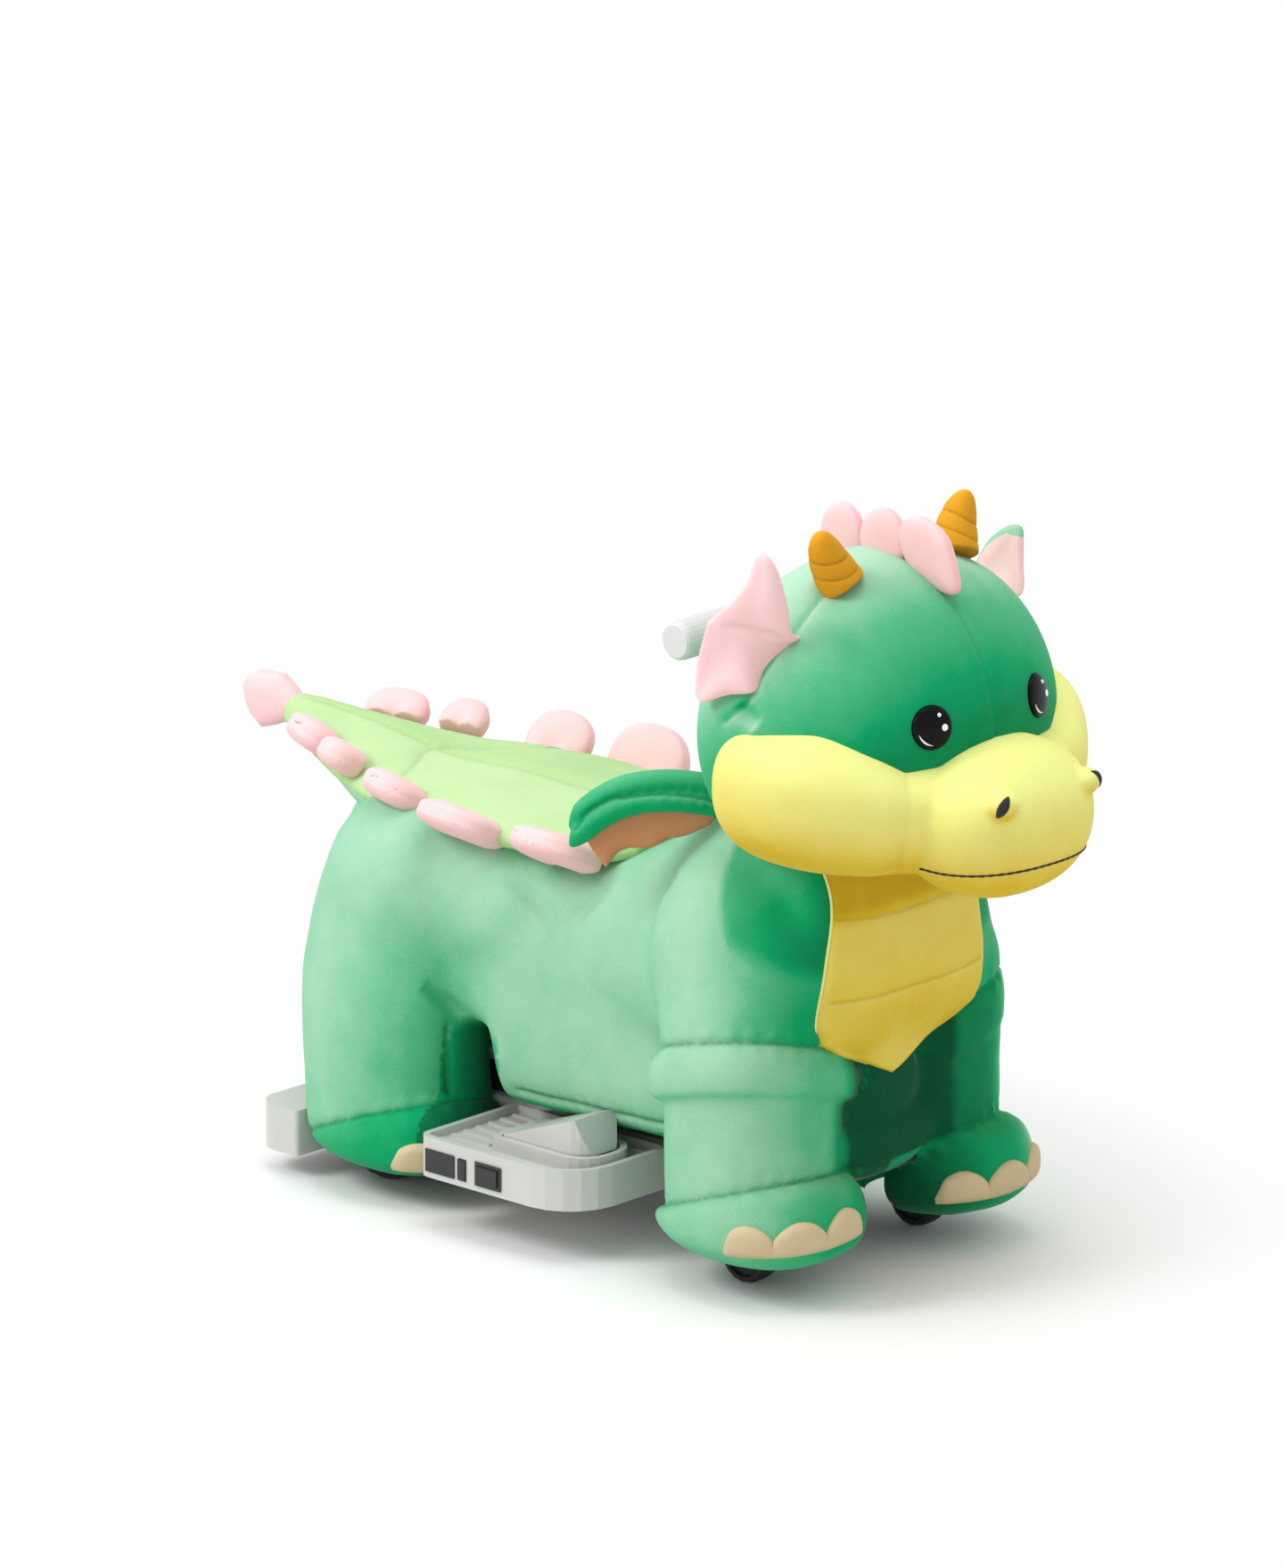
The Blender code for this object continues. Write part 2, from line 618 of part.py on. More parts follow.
def build_switches(rest):
    """The power rocker in its housing, the slim mode switch and the bare plate beside them."""
    black = plastic("black_plastic", BLACK, 0.35)
    wall = -REST_Y[1]
    x0, x1 = ROCKER_X
    z0, z1 = ROCKER_Z
    frame = box_form((x0, wall - 0.0018, z0), (x1, wall - GAP, z1), 0.0004, 1)
    housing = place("rocker_housing", frame, black, False)
    add(housing, cutter("rocker_housing_body", box_form(
        (x0 + 0.0015, wall - 0.0010, z0 + 0.0015), (x1 - 0.0015, wall + 0.014, z1 - 0.0015))))
    cut(rest, cutter("rocker_hole", box_form(
        (x0 + 0.0012, wall - 0.01, z0 + 0.0012), (x1 - 0.0012, wall + 0.010, z1 - 0.0012))))
    cut(housing, cutter("rocker_pocket", box_form(
        (x0 + 0.0026, wall - 0.01, z0 + 0.0030), (x1 - 0.0026, wall + 0.0075, z1 - 0.0030))))
    place("power_rocker", box_form(
        (x0 + 0.0033, wall - 0.0034, z0 + 0.0034), (x1 - 0.0033, wall + 0.0030, z1 - 0.0034), 0.0006), black, False)

    mx0, mx1 = MODE_X
    mz0, mz1 = MODE_Z
    place("mode_switch", box_form((mx0, wall - 0.0016, mz0), (mx1, wall + 0.0034, mz1), 0.0005), black, False)
    cut(rest, cutter("mode_hole", box_form(
        (mx0 - 0.0003, wall - 0.01, mz0 - 0.0006), (mx1 + 0.0003, wall + 0.010, mz1 + 0.0006))))
    place("label_plate", box_form(
        (PLATE_X[0], wall - 0.0014, PLATE_Z[0]), (PLATE_X[1], wall - GAP, PLATE_Z[1]), 0.0004, 1), black, False)


def build_inside():
    steel = material(*PAINTED_STEEL)
    board = plastic("black_plastic", BLACK, 0.35)
    foot = BASE_Z[1] + GAP
    place("seat_board", box_form(
        (SEAT_BOARD_X[0], -SEAT_BOARD_HALF_Y, SEAT_BOARD_Z[0]),
        (SEAT_BOARD_X[1], SEAT_BOARD_HALF_Y, SEAT_BOARD_Z[1]), 0.003), board, False)
    post_top = SEAT_BOARD_Z[0] - GAP
    for name, x in POST_X.items():
        post = box_form((x - POST_HALF_X, -INNER_HALF_Y, foot), (x + POST_HALF_X, INNER_HALF_Y, post_top), 0.002)
        place(name, post, board, False)
    battery = box_form(
        (BATTERY_X[0], -INNER_HALF_Y, foot), (BATTERY_X[1], INNER_HALF_Y, foot + BATTERY_HEIGHT), 0.003)
    place("battery_pack", battery, plastic("battery_case", BLACK), False)
    controller = box_form(
        (CONTROLLER_X[0], -CONTROLLER_HALF_Y, foot),
        (CONTROLLER_X[1], CONTROLLER_HALF_Y, foot + CONTROLLER_HEIGHT), 0.002)
    place("controller_box", controller, board, False)
    place("neck_post", rod_form(
        (NECK_POST_X, 0, RAIL_Z[1] + GAP), (NECK_POST_X, 0, NECK_POST_TOP_Z), NECK_POST_R), steel)
    tube = place("steering_tube", rod_form(
        STEER_FOOT + STEER_AXIS * TUBE_SPAN[0], STEER_FOOT + STEER_AXIS * TUBE_SPAN[1], TUBE_R[1]), steel)
    cut(tube, cutter("tube_bore", rod_form(STEER_FOOT, STEER_HEAD, TUBE_R[0])))


def build_rear_drive():
    rubber = plastic("black_wheel", BLACK, 0.75)
    case = plastic("gearbox_plastic", (0.06, 0.06, 0.065), 0.5)
    axle_z = REAR_WHEEL_R
    end = WHEEL_TRACK_Y + REAR_WHEEL_WIDTH / 2 + 0.004
    shaft = rod_form((REAR_WHEEL_X, -end, axle_z), (REAR_WHEEL_X, end, axle_z), AXLE_R, segments=16)
    axle = place("rear_axle", shaft, material(*BRIGHT_STEEL))
    add(axle, *(cutter(f"axle_nut_{name}", rod_form(
        (REAR_WHEEL_X, side * (end - 0.0035), axle_z), (REAR_WHEEL_X, side * (end + 0.003), axle_z),
        0.009, segments=6)) for name, side in SIDES))
    for name, side in SIDES:
        inner, outer = WHEEL_TRACK_Y - REAR_WHEEL_WIDTH / 2, WHEEL_TRACK_Y + REAR_WHEEL_WIDTH / 2
        wheel = place(f"rear_wheel_{name}", wheel_form(REAR_WHEEL_R, REAR_WHEEL_WIDTH, 24), rubber)
        wheel.location = (REAR_WHEEL_X, side * WHEEL_TRACK_Y, axle_z)
        cut(wheel, cutter(f"wheel_bore_{name}", rod_form(
            (REAR_WHEEL_X, side * (inner - 0.01), axle_z), (REAR_WHEEL_X, side * (outer + 0.01), axle_z),
            AXLE_R + GAP, segments=16)))
        low, high = sorted((side * 0.030, side * (inner - 0.002)))
        box = box_form(
            (REAR_WHEEL_X - 0.040, low, 0.024), (REAR_WHEEL_X + 0.044, high, RAIL_Z[0] - GAP), 0.004)
        motor = place(f"gear_motor_{name}", box, case, False)
        cut(motor, cutter(f"motor_bore_{name}", rod_form(
            (REAR_WHEEL_X, low - 0.01, axle_z), (REAR_WHEEL_X, high + 0.01, axle_z), AXLE_R + GAP, segments=16)))


def wheel_form(radius, width, segments):
    """A wheel about the Y axis, with rounded shoulders and dished sides."""
    half = width / 2
    profile = (
        (0.34, 0.80), (0.44, 0.62), (0.74, 0.62), (0.80, 0.96), (0.95, 0.94), (1.00, 0.55),
    )
    shape = [(r * radius, h * half) for r, h in profile]
    shape = shape + [(r, -h) for r, h in reversed(shape)]
    rings = []
    for k in range(segments):
        a = 2 * math.pi * k / segments
        rings.append([(r * math.cos(a), h, r * math.sin(a)) for r, h in shape])
    bm = bmesh.new()
    rows = [[bm.verts.new(p) for p in ring] for ring in rings]
    count = len(shape)
    for k in range(segments):
        first, second = rows[k], rows[(k + 1) % segments]
        for i in range(count - 1):
            bm.faces.new((first[i], first[i + 1], second[i + 1], second[i]))
    for i in (0, count - 1):
        bm.faces.new([row[i] for row in rows])
    return bm


def build_front_steering():
    steel = material(*PAINTED_STEEL)
    rubber = plastic("black_wheel", BLACK, 0.75)
    arm_x = KINGPIN_X - STEER_ARM
    plate = FRONT_WHEEL_WIDTH / 2 + 0.0015
    for name, side in SIDES:
        y = side * WHEEL_TRACK_Y
        crown = box_form((FRONT_WHEEL_X - 0.012, y - plate - 0.003, FORK_CROWN_Z[0]),
                         (KINGPIN_X + 0.011, y + plate + 0.003, FORK_CROWN_Z[1]), 0.001, 1)
        fork = place(f"front_fork_{name}", crown, steel, False)
        extras = [
            ("arm", box_form((arm_x - 0.006, y - 0.006, FORK_CROWN_Z[0] + 0.0012),
                             (FRONT_WHEEL_X, y + 0.006, FORK_CROWN_Z[1] - 0.0012), 0.001, 1)),
            ("arm_pin", rod_form(
                (arm_x, y, FORK_CROWN_Z[0] + 0.004), (arm_x, y, TIE_ROD_Z[1] + 0.002), LINK_PIN_R, segments=12)),
            ("stem", rod_form(
                (KINGPIN_X, y, FORK_CROWN_Z[0] + 0.004), (KINGPIN_X, y, RAIL_Z[1] + 0.004), KINGPIN_R, segments=16)),
            ("cap", rod_form(
                (KINGPIN_X, y, RAIL_Z[1] + 0.0006), (KINGPIN_X, y, RAIL_Z[1] + 0.005), 0.0105, segments=16)),
        ]
        for s, label in ((-1, "in"), (1, "out")):
            face = sorted((y + s * plate, y + s * (plate + 0.003)))
            extras.append((f"leg_{label}", box_form(
                (FRONT_WHEEL_X - 0.009, face[0], FRONT_WHEEL_R - 0.008),
                (FRONT_WHEEL_X + 0.009, face[1], FORK_CROWN_Z[0] + 0.003))))
        axle_reach = plate + 0.001
        extras.append(("axle", rod_form(
            (FRONT_WHEEL_X, y - axle_reach, FRONT_WHEEL_R), (FRONT_WHEEL_X, y + axle_reach, FRONT_WHEEL_R),
            FRONT_AXLE_R, segments=12)))
        add(fork, *(cutter(f"fork_{label}_{name}", form) for label, form in extras))
        wheel = place(f"front_wheel_{name}", wheel_form(FRONT_WHEEL_R, FRONT_WHEEL_WIDTH, 16), rubber)
        wheel.location = (FRONT_WHEEL_X, y, FRONT_WHEEL_R)
        cut(wheel, cutter(f"front_bore_{name}", rod_form(
            (FRONT_WHEEL_X, y - 0.03, FRONT_WHEEL_R), (FRONT_WHEEL_X, y + 0.03, FRONT_WHEEL_R),
            FRONT_AXLE_R + 0.0004, segments=12)))

    rod = place("tie_rod", plate_form(
        (arm_x - 0.0075, arm_x + 0.0075), (-WHEEL_TRACK_Y - 0.009, WHEEL_TRACK_Y + 0.009), TIE_ROD_Z,
        (0.006,) * 4, arc_steps=3), steel, False)
    bores = (("right", -WHEEL_TRACK_Y, 0.0004), ("middle", 0.0, 0.0018), ("left", WHEEL_TRACK_Y, 0.0012))
    for label, y, play in bores:
        bore = rod_form((arm_x, y, 0.05), (arm_x, y, 0.09), LINK_PIN_R + play, segments=16)
        cut(rod, cutter(f"tie_bore_{label}", bore))

    column = place("steering_column", rod_form(
        STEER_FOOT - STEER_AXIS * 0.0225, STEER_HEAD - STEER_AXIS * (HUB_R + GAP), COLUMN_R), steel)
    pitman_arm = box_form(
        (arm_x - 0.006, -0.006, TIE_ROD_Z[1] + 0.0030), (STEER_FOOT.x + 0.004, 0.006, TIE_ROD_Z[1] + 0.0090), 0.001, 1)
    pitman_pin = rod_form((arm_x, 0, TIE_ROD_Z[0] + 0.0006), (arm_x, 0, TIE_ROD_Z[1] + 0.005), LINK_PIN_R, segments=12)
    add(column, cutter("pitman_arm", pitman_arm), cutter("pitman_pin", pitman_pin))


def build_handlebar():
    tube_r = 0.0110
    bar = place("handlebar", rod_form(
        STEER_HEAD - Vector((0, BAR_HALF_Y - 0.004, 0)), STEER_HEAD + Vector((0, BAR_HALF_Y - 0.004, 0)), tube_r),
        material(*PAINTED_STEEL))
    add(bar, cutter("bar_hub", rod_form(
        STEER_HEAD - Vector((0, 0.024, 0)), STEER_HEAD + Vector((0, 0.024, 0)), HUB_R)))
    for name, side in SIDES:
        tip = STEER_HEAD + Vector((0, side * BAR_HALF_Y, 0))
        outward = Vector((0, side, 0))
        lengths = (0.0, 0.0025, 0.006, GRIP_LENGTH - 0.004, GRIP_LENGTH)
        shrink = (0.82, 0.95, 1.0, 1.0, 0.9)
        grip = place(f"grip_{name}", axis_loft(
            [tip - outward * d for d in lengths], [GRIP_R * k for k in shrink], segments=24),
            plastic("grip_grey", WHITE_PLASTIC, 0.5))
        cut(grip, cutter(f"grip_bore_{name}", rod_form(
            tip - outward * 0.0037, tip - outward * (GRIP_LENGTH + 0.01), tube_r + GAP)))


def leg_wells(kind, name, side):
    """The spaces that a leg leaves for its wheel, the frame and the steering."""
    tools = [cutter(f"{kind}_frame_slot_{name}", box_form(
        (-0.32, -BASE_HALF_Y - 0.001, BASE_Z[0] - 0.003),
        (BEAM_X[0] + 0.004, BASE_HALF_Y + 0.001, RAIL_Z[1] + SKIN_GAP)))]
    if kind == "front":
        y = side * WHEEL_TRACK_Y
        tools.append(cutter(f"front_well_{name}", rod_form(
            (KINGPIN_X - 0.003, y, -0.01), (KINGPIN_X - 0.003, y, RAIL_Z[0] + 0.002), 0.051, segments=24)))
        low, high = sorted((0.0, side * WHEEL_TRACK_Y))
        tools.append(cutter(f"tie_slot_{name}", box_form(
            (KINGPIN_X - STEER_ARM - 0.016, low, 0.048), (KINGPIN_X - 0.015, high, RAIL_Z[0] + 0.0026))))
        tools.append(cutter(f"beam_slot_{name}", box_form(
            (BEAM_X[0] - SKIN_GAP, -BEAM_HALF_Y - SKIN_GAP, RAIL_Z[0] - SKIN_GAP),
            (BEAM_X[1] + SKIN_GAP, BEAM_HALF_Y + SKIN_GAP, RAIL_Z[1] + SKIN_GAP))))
        tools.append(cutter(f"cap_well_{name}", rod_form(
            (KINGPIN_X, y, RAIL_Z[1] - 0.004), (KINGPIN_X, y, RAIL_Z[1] + 0.008), 0.0125, segments=16)))
    else:
        low, high = sorted((0.0, side * (WHEEL_TRACK_Y + REAR_WHEEL_WIDTH / 2 + 0.011)))
        tools.append(cutter(f"rear_well_{name}", box_form(
            (REAR_WHEEL_X - 0.058, low, -0.01), (REAR_WHEEL_X + 0.058, high, 2 * REAR_WHEEL_R + 0.006))))
        tools.append(cutter(f"bumper_slot_{name}", box_form(
            (BUMPER_X[0] - 0.05, -BUMPER_HALF_Y - 0.02, -0.01),
            (BUMPER_X[1] + SKIN_GAP, BUMPER_HALF_Y + 0.02, BUMPER_Z[1] + SKIN_GAP))))
    return tools


def build_plush_body():
    mint = plush("mint_plush", MINT)
    green = plush("green_plush", GREEN)
    yellow = plush("yellow_plush", YELLOW)

    body = place("body_plush", body_form(), mint)
    cavity = box_form(
        (CAVITY_X[0], -CAVITY_HALF_Y, 0.0), (CAVITY_X[1], CAVITY_HALF_Y, CAVITY_TOP_Z), 0.0)
    tube_way = rod_form(
        STEER_FOOT + STEER_AXIS * 0.10, STEER_FOOT + STEER_AXIS * 0.42, TUBE_R[1] + SKIN_GAP, segments=20)
    post_way = cutter("post_way", rod_form(
        (NECK_POST_X, 0, 0.20), (NECK_POST_X, 0, NECK_POST_TOP_Z + SKIN_GAP), NECK_POST_R + SKIN_GAP))
    cut(body, cutter("tube_way", tube_way), post_way, cutter("body_cavity", cavity))
    body_guide = cutter("body_guide", body_form(), SKIN_GAP)

    head = place("head_plush", dome_form(), green)
    cut(head, body_guide, post_way)
    dome_guide = cutter("dome_guide", dome_form(), SKIN_GAP)

    muzzle = place("muzzle_plush", cheek_form(), yellow)
    add(muzzle, cutter("snout", ball_form(SNOUT_CENTRE, SNOUT_RADII, 18, 10)))
    for name, side in SIDES:
        add(muzzle, cutter(f"nostril_{name}", ball_form(sided(NOSTRIL, side), (NOSTRIL_R,) * 3, 10, 6)))
    cut(muzzle, dome_guide, body_guide)
    cheek_guide = cutter("cheek_guide", cheek_form(), SKIN_GAP)

    leg_guides = build_legs(body_guide, mint)
    build_head_trims(dome_guide, cheek_guide)
    build_back(body_guide, dome_guide, cheek_guide, mint)
    build_chest(yellow, body_guide, dome_guide, cheek_guide, *leg_guides)


def build_legs(body_guide, mint):
    """The four stuffed legs with their claws; the front legs' guides are returned."""
    cream = plush("cream_plush", CREAM)
    leg_guides = []
    for kind, stations in (("front", FRONT_LEG_STATIONS), ("rear", REAR_LEG_STATIONS)):
        for name, side in SIDES:
            leg = place(f"{kind}_leg_{name}", height_loft(stations, side, LEG_SQUARENESS), mint)
            cut(leg, body_guide, *leg_wells(kind, name, side), solver="MANIFOLD")
            foot_x, foot_y, long_reach, wide_reach = CLAW_FEET[kind]
            foot = Vector((foot_x, side * foot_y, CLAW_Z))
            guide = cutter(f"{kind}_leg_guide_{name}", height_loft(stations, side, LEG_SQUARENESS), SKIN_GAP)
            lobes = []
            for k in (-1, 0, 1):
                turn = math.radians(side * CLAW_MIDDLE_DEG + k * CLAW_STEP_DEG)
                way = Vector((math.cos(turn) * long_reach, math.sin(turn) * wide_reach, 0))
                tangent = Vector((-math.sin(turn), math.cos(turn), 0))
                frame = Matrix((tangent, way.normalized(), Vector((0, 0, 1)))).transposed().to_4x4()
                lobe = ball_form((0, 0, 0), CLAW_RADII, 10, 5)
                lobe.transform(Matrix.Translation(foot + way) @ frame)
                lobes.append(lobe)
            claws = place(f"{kind}_claws_{name}", lobes[1], cream)
            add(claws, *(cutter(f"{kind}_claw_{name}_{i}", lobe) for i, lobe in ((0, lobes[0]), (2, lobes[2]))))
            cut(claws, guide)
            if kind == "rear":
                cut(claws, cutter(f"footrest_clearance_{name}", box_form(
                    (REST_X[0] - SKIN_GAP, -0.22, 0.0), (REST_X[1], 0.22, BASE_Z[1] + 0.01))))
            else:
                leg_guides.append(guide)
    return leg_guides


def build_head_trims(dome_guide, cheek_guide):
    pink = plush("pink_plush", PINK)
    gold = plush("gold_plush", GOLD)
    for name, side in SIDES:
        y, z = side * EYE_YZ[0], EYE_YZ[1]
        centre = Vector((dome_x(y, z), y, z))
        normal = Vector((
            (centre.x - DOME_CENTRE.x) / DOME_FRONT ** 2, y / DOME_HALF_Y ** 2,
            (z - DOME_CENTRE.z) / DOME_HALF_Z ** 2)).normalized()
        disc = ball_form((0, 0, 0), (EYE_R, EYE_R, EYE_BULGE), 18, 4)
        disc.transform(Matrix.Translation(centre) @ normal.to_track_quat("Z", "Y").to_matrix().to_4x4())
        eye = place(f"eye_{name}", disc, plastic("eye_black", BLACK, 0.2))
        cut(eye, dome_guide)

        base, tip = sided(HORN_BASE, side), sided(HORN_TIP, side)
        steps = (-0.35, 0.0, 0.35, 0.70, 0.90, 1.0)
        sizes = (1.0, 1.0, 0.86, 0.62, 0.42, 0.16)
        horn = place(f"horn_{name}", axis_loft(
            [base + (tip - base) * s for s in steps], [HORN_R * k for k in sizes], segments=16), gold)
        cut(horn, dome_guide)

        outline = [sided(p, side) for p in (EAR_ROOT_TOP, EAR_TIP, EAR_CORNER, EAR_ROOT_LOW)]
        inner = DOME_CENTRE + Vector((0, side * 0.10, 0.02))
        outline.append(outline[3] + (inner - outline[3]) * 0.18)
        outline.append(outline[0] + (inner - outline[0]) * 0.18)
        normal = (outline[1] - outline[0]).cross(outline[3] - outline[0])
        ear = place(f"ear_{name}", flat_form(outline, EAR_THICKNESS, normal), pink)
        cut(ear, dome_guide, cheek_guide)

    spine = [Vector((x, 0, z)) for x, z, _ in CREST_LOBES]
    crest = place("crest", axis_loft(
        [spine[0] - Vector((0.012, 0, 0.004)), *spine, spine[-1] + Vector((0.020, 0, -0.010))], [0.009] * 5, 8), pink)
    for i, (x, z, half) in enumerate(CREST_LOBES):
        add(crest, cutter(f"crest_lobe_{i}", ball_form((x, 0, z), (half, 0.012, CREST_RISE), 10, 6)))
    cut(crest, dome_guide)


def build_back(body_guide, dome_guide, cheek_guide, mint):
    lime = plush("lime_plush", LIME)
    pink = plush("pink_plush", PINK)
    tan = plush("wing_tan_plush", TAN)

    tail = place("tail_plush", length_loft(TAIL_STATIONS, TAIL_SQUARENESS, segments=18), mint)
    cut(tail, body_guide)
    tail_guide = cutter("tail_guide", length_loft(TAIL_STATIONS, TAIL_SQUARENESS, segments=18), SKIN_GAP)
    tip = place("tail_tip", ball_form(TAIL_TIP_CENTRE, TAIL_TIP_RADII, 14, 8), pink)
    cut(tip, tail_guide)

    low_z = SADDLE_TOP_Z - SADDLE_DEPTH
    stations = [(x, half, low_z, SADDLE_TOP_Z) for x, half in SADDLE_STATIONS]
    saddle = place("saddle_pad", length_loft(stations, SADDLE_SQUARENESS, segments=18), lime)
    channel = rod_form((-0.235, 0, SADDLE_TOP_Z + 0.0015), (0.030, 0, SADDLE_TOP_Z + 0.0015), 0.0040, segments=8)
    cut(saddle, cutter("saddle_channel", channel), body_guide, tail_guide)
    saddle_guide = cutter("saddle_guide", length_loft(stations, SADDLE_SQUARENESS, segments=18), SKIN_GAP)

    for name, side in SIDES:
        spots = [Vector((x, side * y, z)) for x, y, z, _ in SCALLOP_PLACES]
        route = [spots[0] + Vector((0.03, 0, 0)), *spots, spots[-1] - Vector((0.02, side * 0.008, 0))]
        trim = place(f"scallop_trim_{name}", axis_loft(route, [0.0055] * len(route), 6), pink)
        for i, (spot, (_, _, _, half)) in enumerate(zip(spots, SCALLOP_PLACES)):
            lobe = ball_form((0, 0, 0), (half * 0.92, 0.011, 0.50 * half + 0.003), 8, 5)
            after = spots[min(i + 1, len(spots) - 1)]
            before = spots[max(i - 1, 0)]
            way = before - after
            turn = math.atan2(way.y, way.x)
            lobe.transform(Matrix.Translation(spot) @ Matrix.Rotation(turn, 4, "Z"))
            add(trim, cutter(f"scallop_{name}_{i}", lobe))
        cut(trim, body_guide, saddle_guide, tail_guide)

        root, crown, end = (sided(p, side) for p in (WING_ROOT, WING_CROWN, WING_END))
        inner = root + Vector((0.020, -side * 0.030, -0.008))
        path = [Vector(p[:3]) for p in blend_stations([tuple(inner), tuple(root), tuple(crown), tuple(end)], 3)]
        sizes = [WING_ROLL_R * (1.0 if i < len(path) - 1 else 0.55) for i in range(len(path))]
        wing = place(f"wing_{name}", axis_loft(path, sizes, 12), tan)
        low = [sided(p, side) for p in WING_MEMBRANE_LOW]
        outline = [root, crown, end + (crown - end) * 0.1, low[2], low[1], low[0]]
        normal = (end - root).cross(low[0] - root)
        add(wing, cutter(f"wing_web_{name}", flat_form(outline, 0.012, normal)))
        cut(wing, body_guide, dome_guide, cheek_guide, saddle_guide)


def build_chest(yellow, *guides):
    """The bib, a shallow padded panel down the front of the chest."""
    panel = place("chest_panel", length_loft(
        [(s[0] + 0.005, s[1] * 0.90, s[2] + 0.004, s[3]) for s in BODY_STATIONS[12:]], BODY_SQUARENESS), yellow)
    cut(panel, *guides, solver="MANIFOLD")


def main():
    clear_scene()
    build_chassis()
    build_footrests()
    build_inside()
    build_rear_drive()
    build_front_steering()
    build_handlebar()
    build_plush_body()


main()
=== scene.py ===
"""The looks of an electric plush ride-on baby dragon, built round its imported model.

Metres, +Z up, +X forward, +Y the animal's left side.
"""

import math

import bmesh
import bpy
import numpy as np
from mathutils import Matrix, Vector, noise
from mathutils.bvhtree import BVHTree
from mathutils.kdtree import KDTree


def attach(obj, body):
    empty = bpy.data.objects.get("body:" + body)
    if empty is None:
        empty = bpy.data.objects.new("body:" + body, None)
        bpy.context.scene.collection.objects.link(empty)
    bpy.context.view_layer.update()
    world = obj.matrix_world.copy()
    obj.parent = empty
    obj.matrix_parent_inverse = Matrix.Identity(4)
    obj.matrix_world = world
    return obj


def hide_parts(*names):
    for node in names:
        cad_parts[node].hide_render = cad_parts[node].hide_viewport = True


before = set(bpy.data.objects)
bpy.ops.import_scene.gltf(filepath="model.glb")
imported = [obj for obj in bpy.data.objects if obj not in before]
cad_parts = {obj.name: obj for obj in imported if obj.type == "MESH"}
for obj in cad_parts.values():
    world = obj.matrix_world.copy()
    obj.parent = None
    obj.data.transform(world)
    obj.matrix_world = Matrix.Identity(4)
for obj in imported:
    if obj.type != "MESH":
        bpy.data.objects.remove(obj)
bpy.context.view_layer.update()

SIDES = (("right", -1), ("left", 1))

# Camera
VIEW_AZIMUTH, VIEW_ELEVATION = math.radians(43.19), math.radians(16.475)
VIEW_TARGET = Vector((-0.01714, 0.00262, 0.37613))
VIEW_DISTANCE = 14.0
VIEW_LENS = 368.7
AMBIENT = 0.8
# Lamps: name, place, size, power
LAMP_AIM = (0.0, 0.0, 0.3)
LAMPS = (("key", (-1.3, -2.2, 2.4), 1.4, 44.0), ("top", (0.2, -0.1, 3.0), 1.6, 22.0))
# How far from the middle the floor starts and ends its fade into the surround
FLOOR_FADE = (0.28, 0.66)

# The skin's cell in the fused stuffed forms, and the steps of sewn lines and of outlines
CELL, LINE_STEP, OUTLINE_STEP = 0.003, 0.0015, 0.002

# Trunk: stations are (x, half width, lowest z, highest z)
TRUNK_STATIONS = (
    (-0.304, 0.04, 0.215, 0.3),
    (-0.297, 0.085, 0.165, 0.332),
    (-0.274, 0.112, 0.125, 0.347),
    (-0.215, 0.127, 0.11, 0.35),
    (-0.15, 0.129, 0.125, 0.347),
    (-0.12, 0.128, 0.156, 0.345),
    (-0.098, 0.127, 0.158, 0.344),
    (-0.083, 0.127, 0.146, 0.344),
    (-0.074, 0.127, 0.104, 0.344),
    (-0.066, 0.127, 0.0955, 0.344),
    (-0.03, 0.127, 0.095, 0.344),
    (0.02, 0.126, 0.095, 0.346),
    (0.06, 0.124, 0.095, 0.354),
    (0.1, 0.122, 0.096, 0.382),
    (0.14, 0.12, 0.098, 0.418),
    (0.185, 0.119, 0.108, 0.438),
    (0.235, 0.118, 0.142, 0.44),
    (0.262, 0.115, 0.176, 0.43),
    (0.281, 0.11, 0.208, 0.412),
    (0.296, 0.094, 0.245, 0.388),
    (0.304, 0.06, 0.28, 0.35),
)
TRUNK_SQUARENESS, BELLY_SQUARENESS = 2.9, 6.5
HEM_Z = 0.109
# How much painted shade darkens the cover's pile: on the chest, under the cheeks, on the left front leg and
# its shin, between the front legs, on the rear feet, at the haunch's front, on its inner panel and on the
# belly
CHEST_SHADE, CHEEK_SHADE, LEFT_LEG_SHADE, SHIN_SHADE, BETWEEN_SHADE = 0.55, 0.42, 0.75, 0.15, 0.85
REAR_FOOT_SHADE, HAUNCH_SHADE, PANEL_SHADE, BELLY_SHADE = 0.48, 0.28, 0.45, 0.5
# The shade line under the cheeks: x, z
CHEEK_SHADE_X, CHEEK_SHADE_Z = (0.172, 0.2, 0.232, 0.29), (0.43, 0.372, 0.316, 0.289)
# The panel between the front legs, over the crossbeam, darkened by the painted shade between the legs:
# (centre, radii)
APRON = ((0.238, 0.0, 0.113), (0.0435, 0.088, 0.036))
# The breast under the bib, over the neck post: (centre, radii)
BREAST = ((0.232, 0.0, 0.19), (0.0495, 0.085, 0.112))
# Stuffing that rounds shoulder and haunch into the trunk, given for the left side: (centre, radii)
FILLERS = (
    ((0.195, 0.085, 0.285), (0.1, 0.08, 0.1)),
    ((0.11, 0.066, 0.26), (0.13, 0.072, 0.095)),
    ((-0.201, 0.08, 0.25), (0.098, 0.09, 0.105)),
    ((-0.12, 0.064, 0.265), (0.13, 0.074, 0.08)),
)

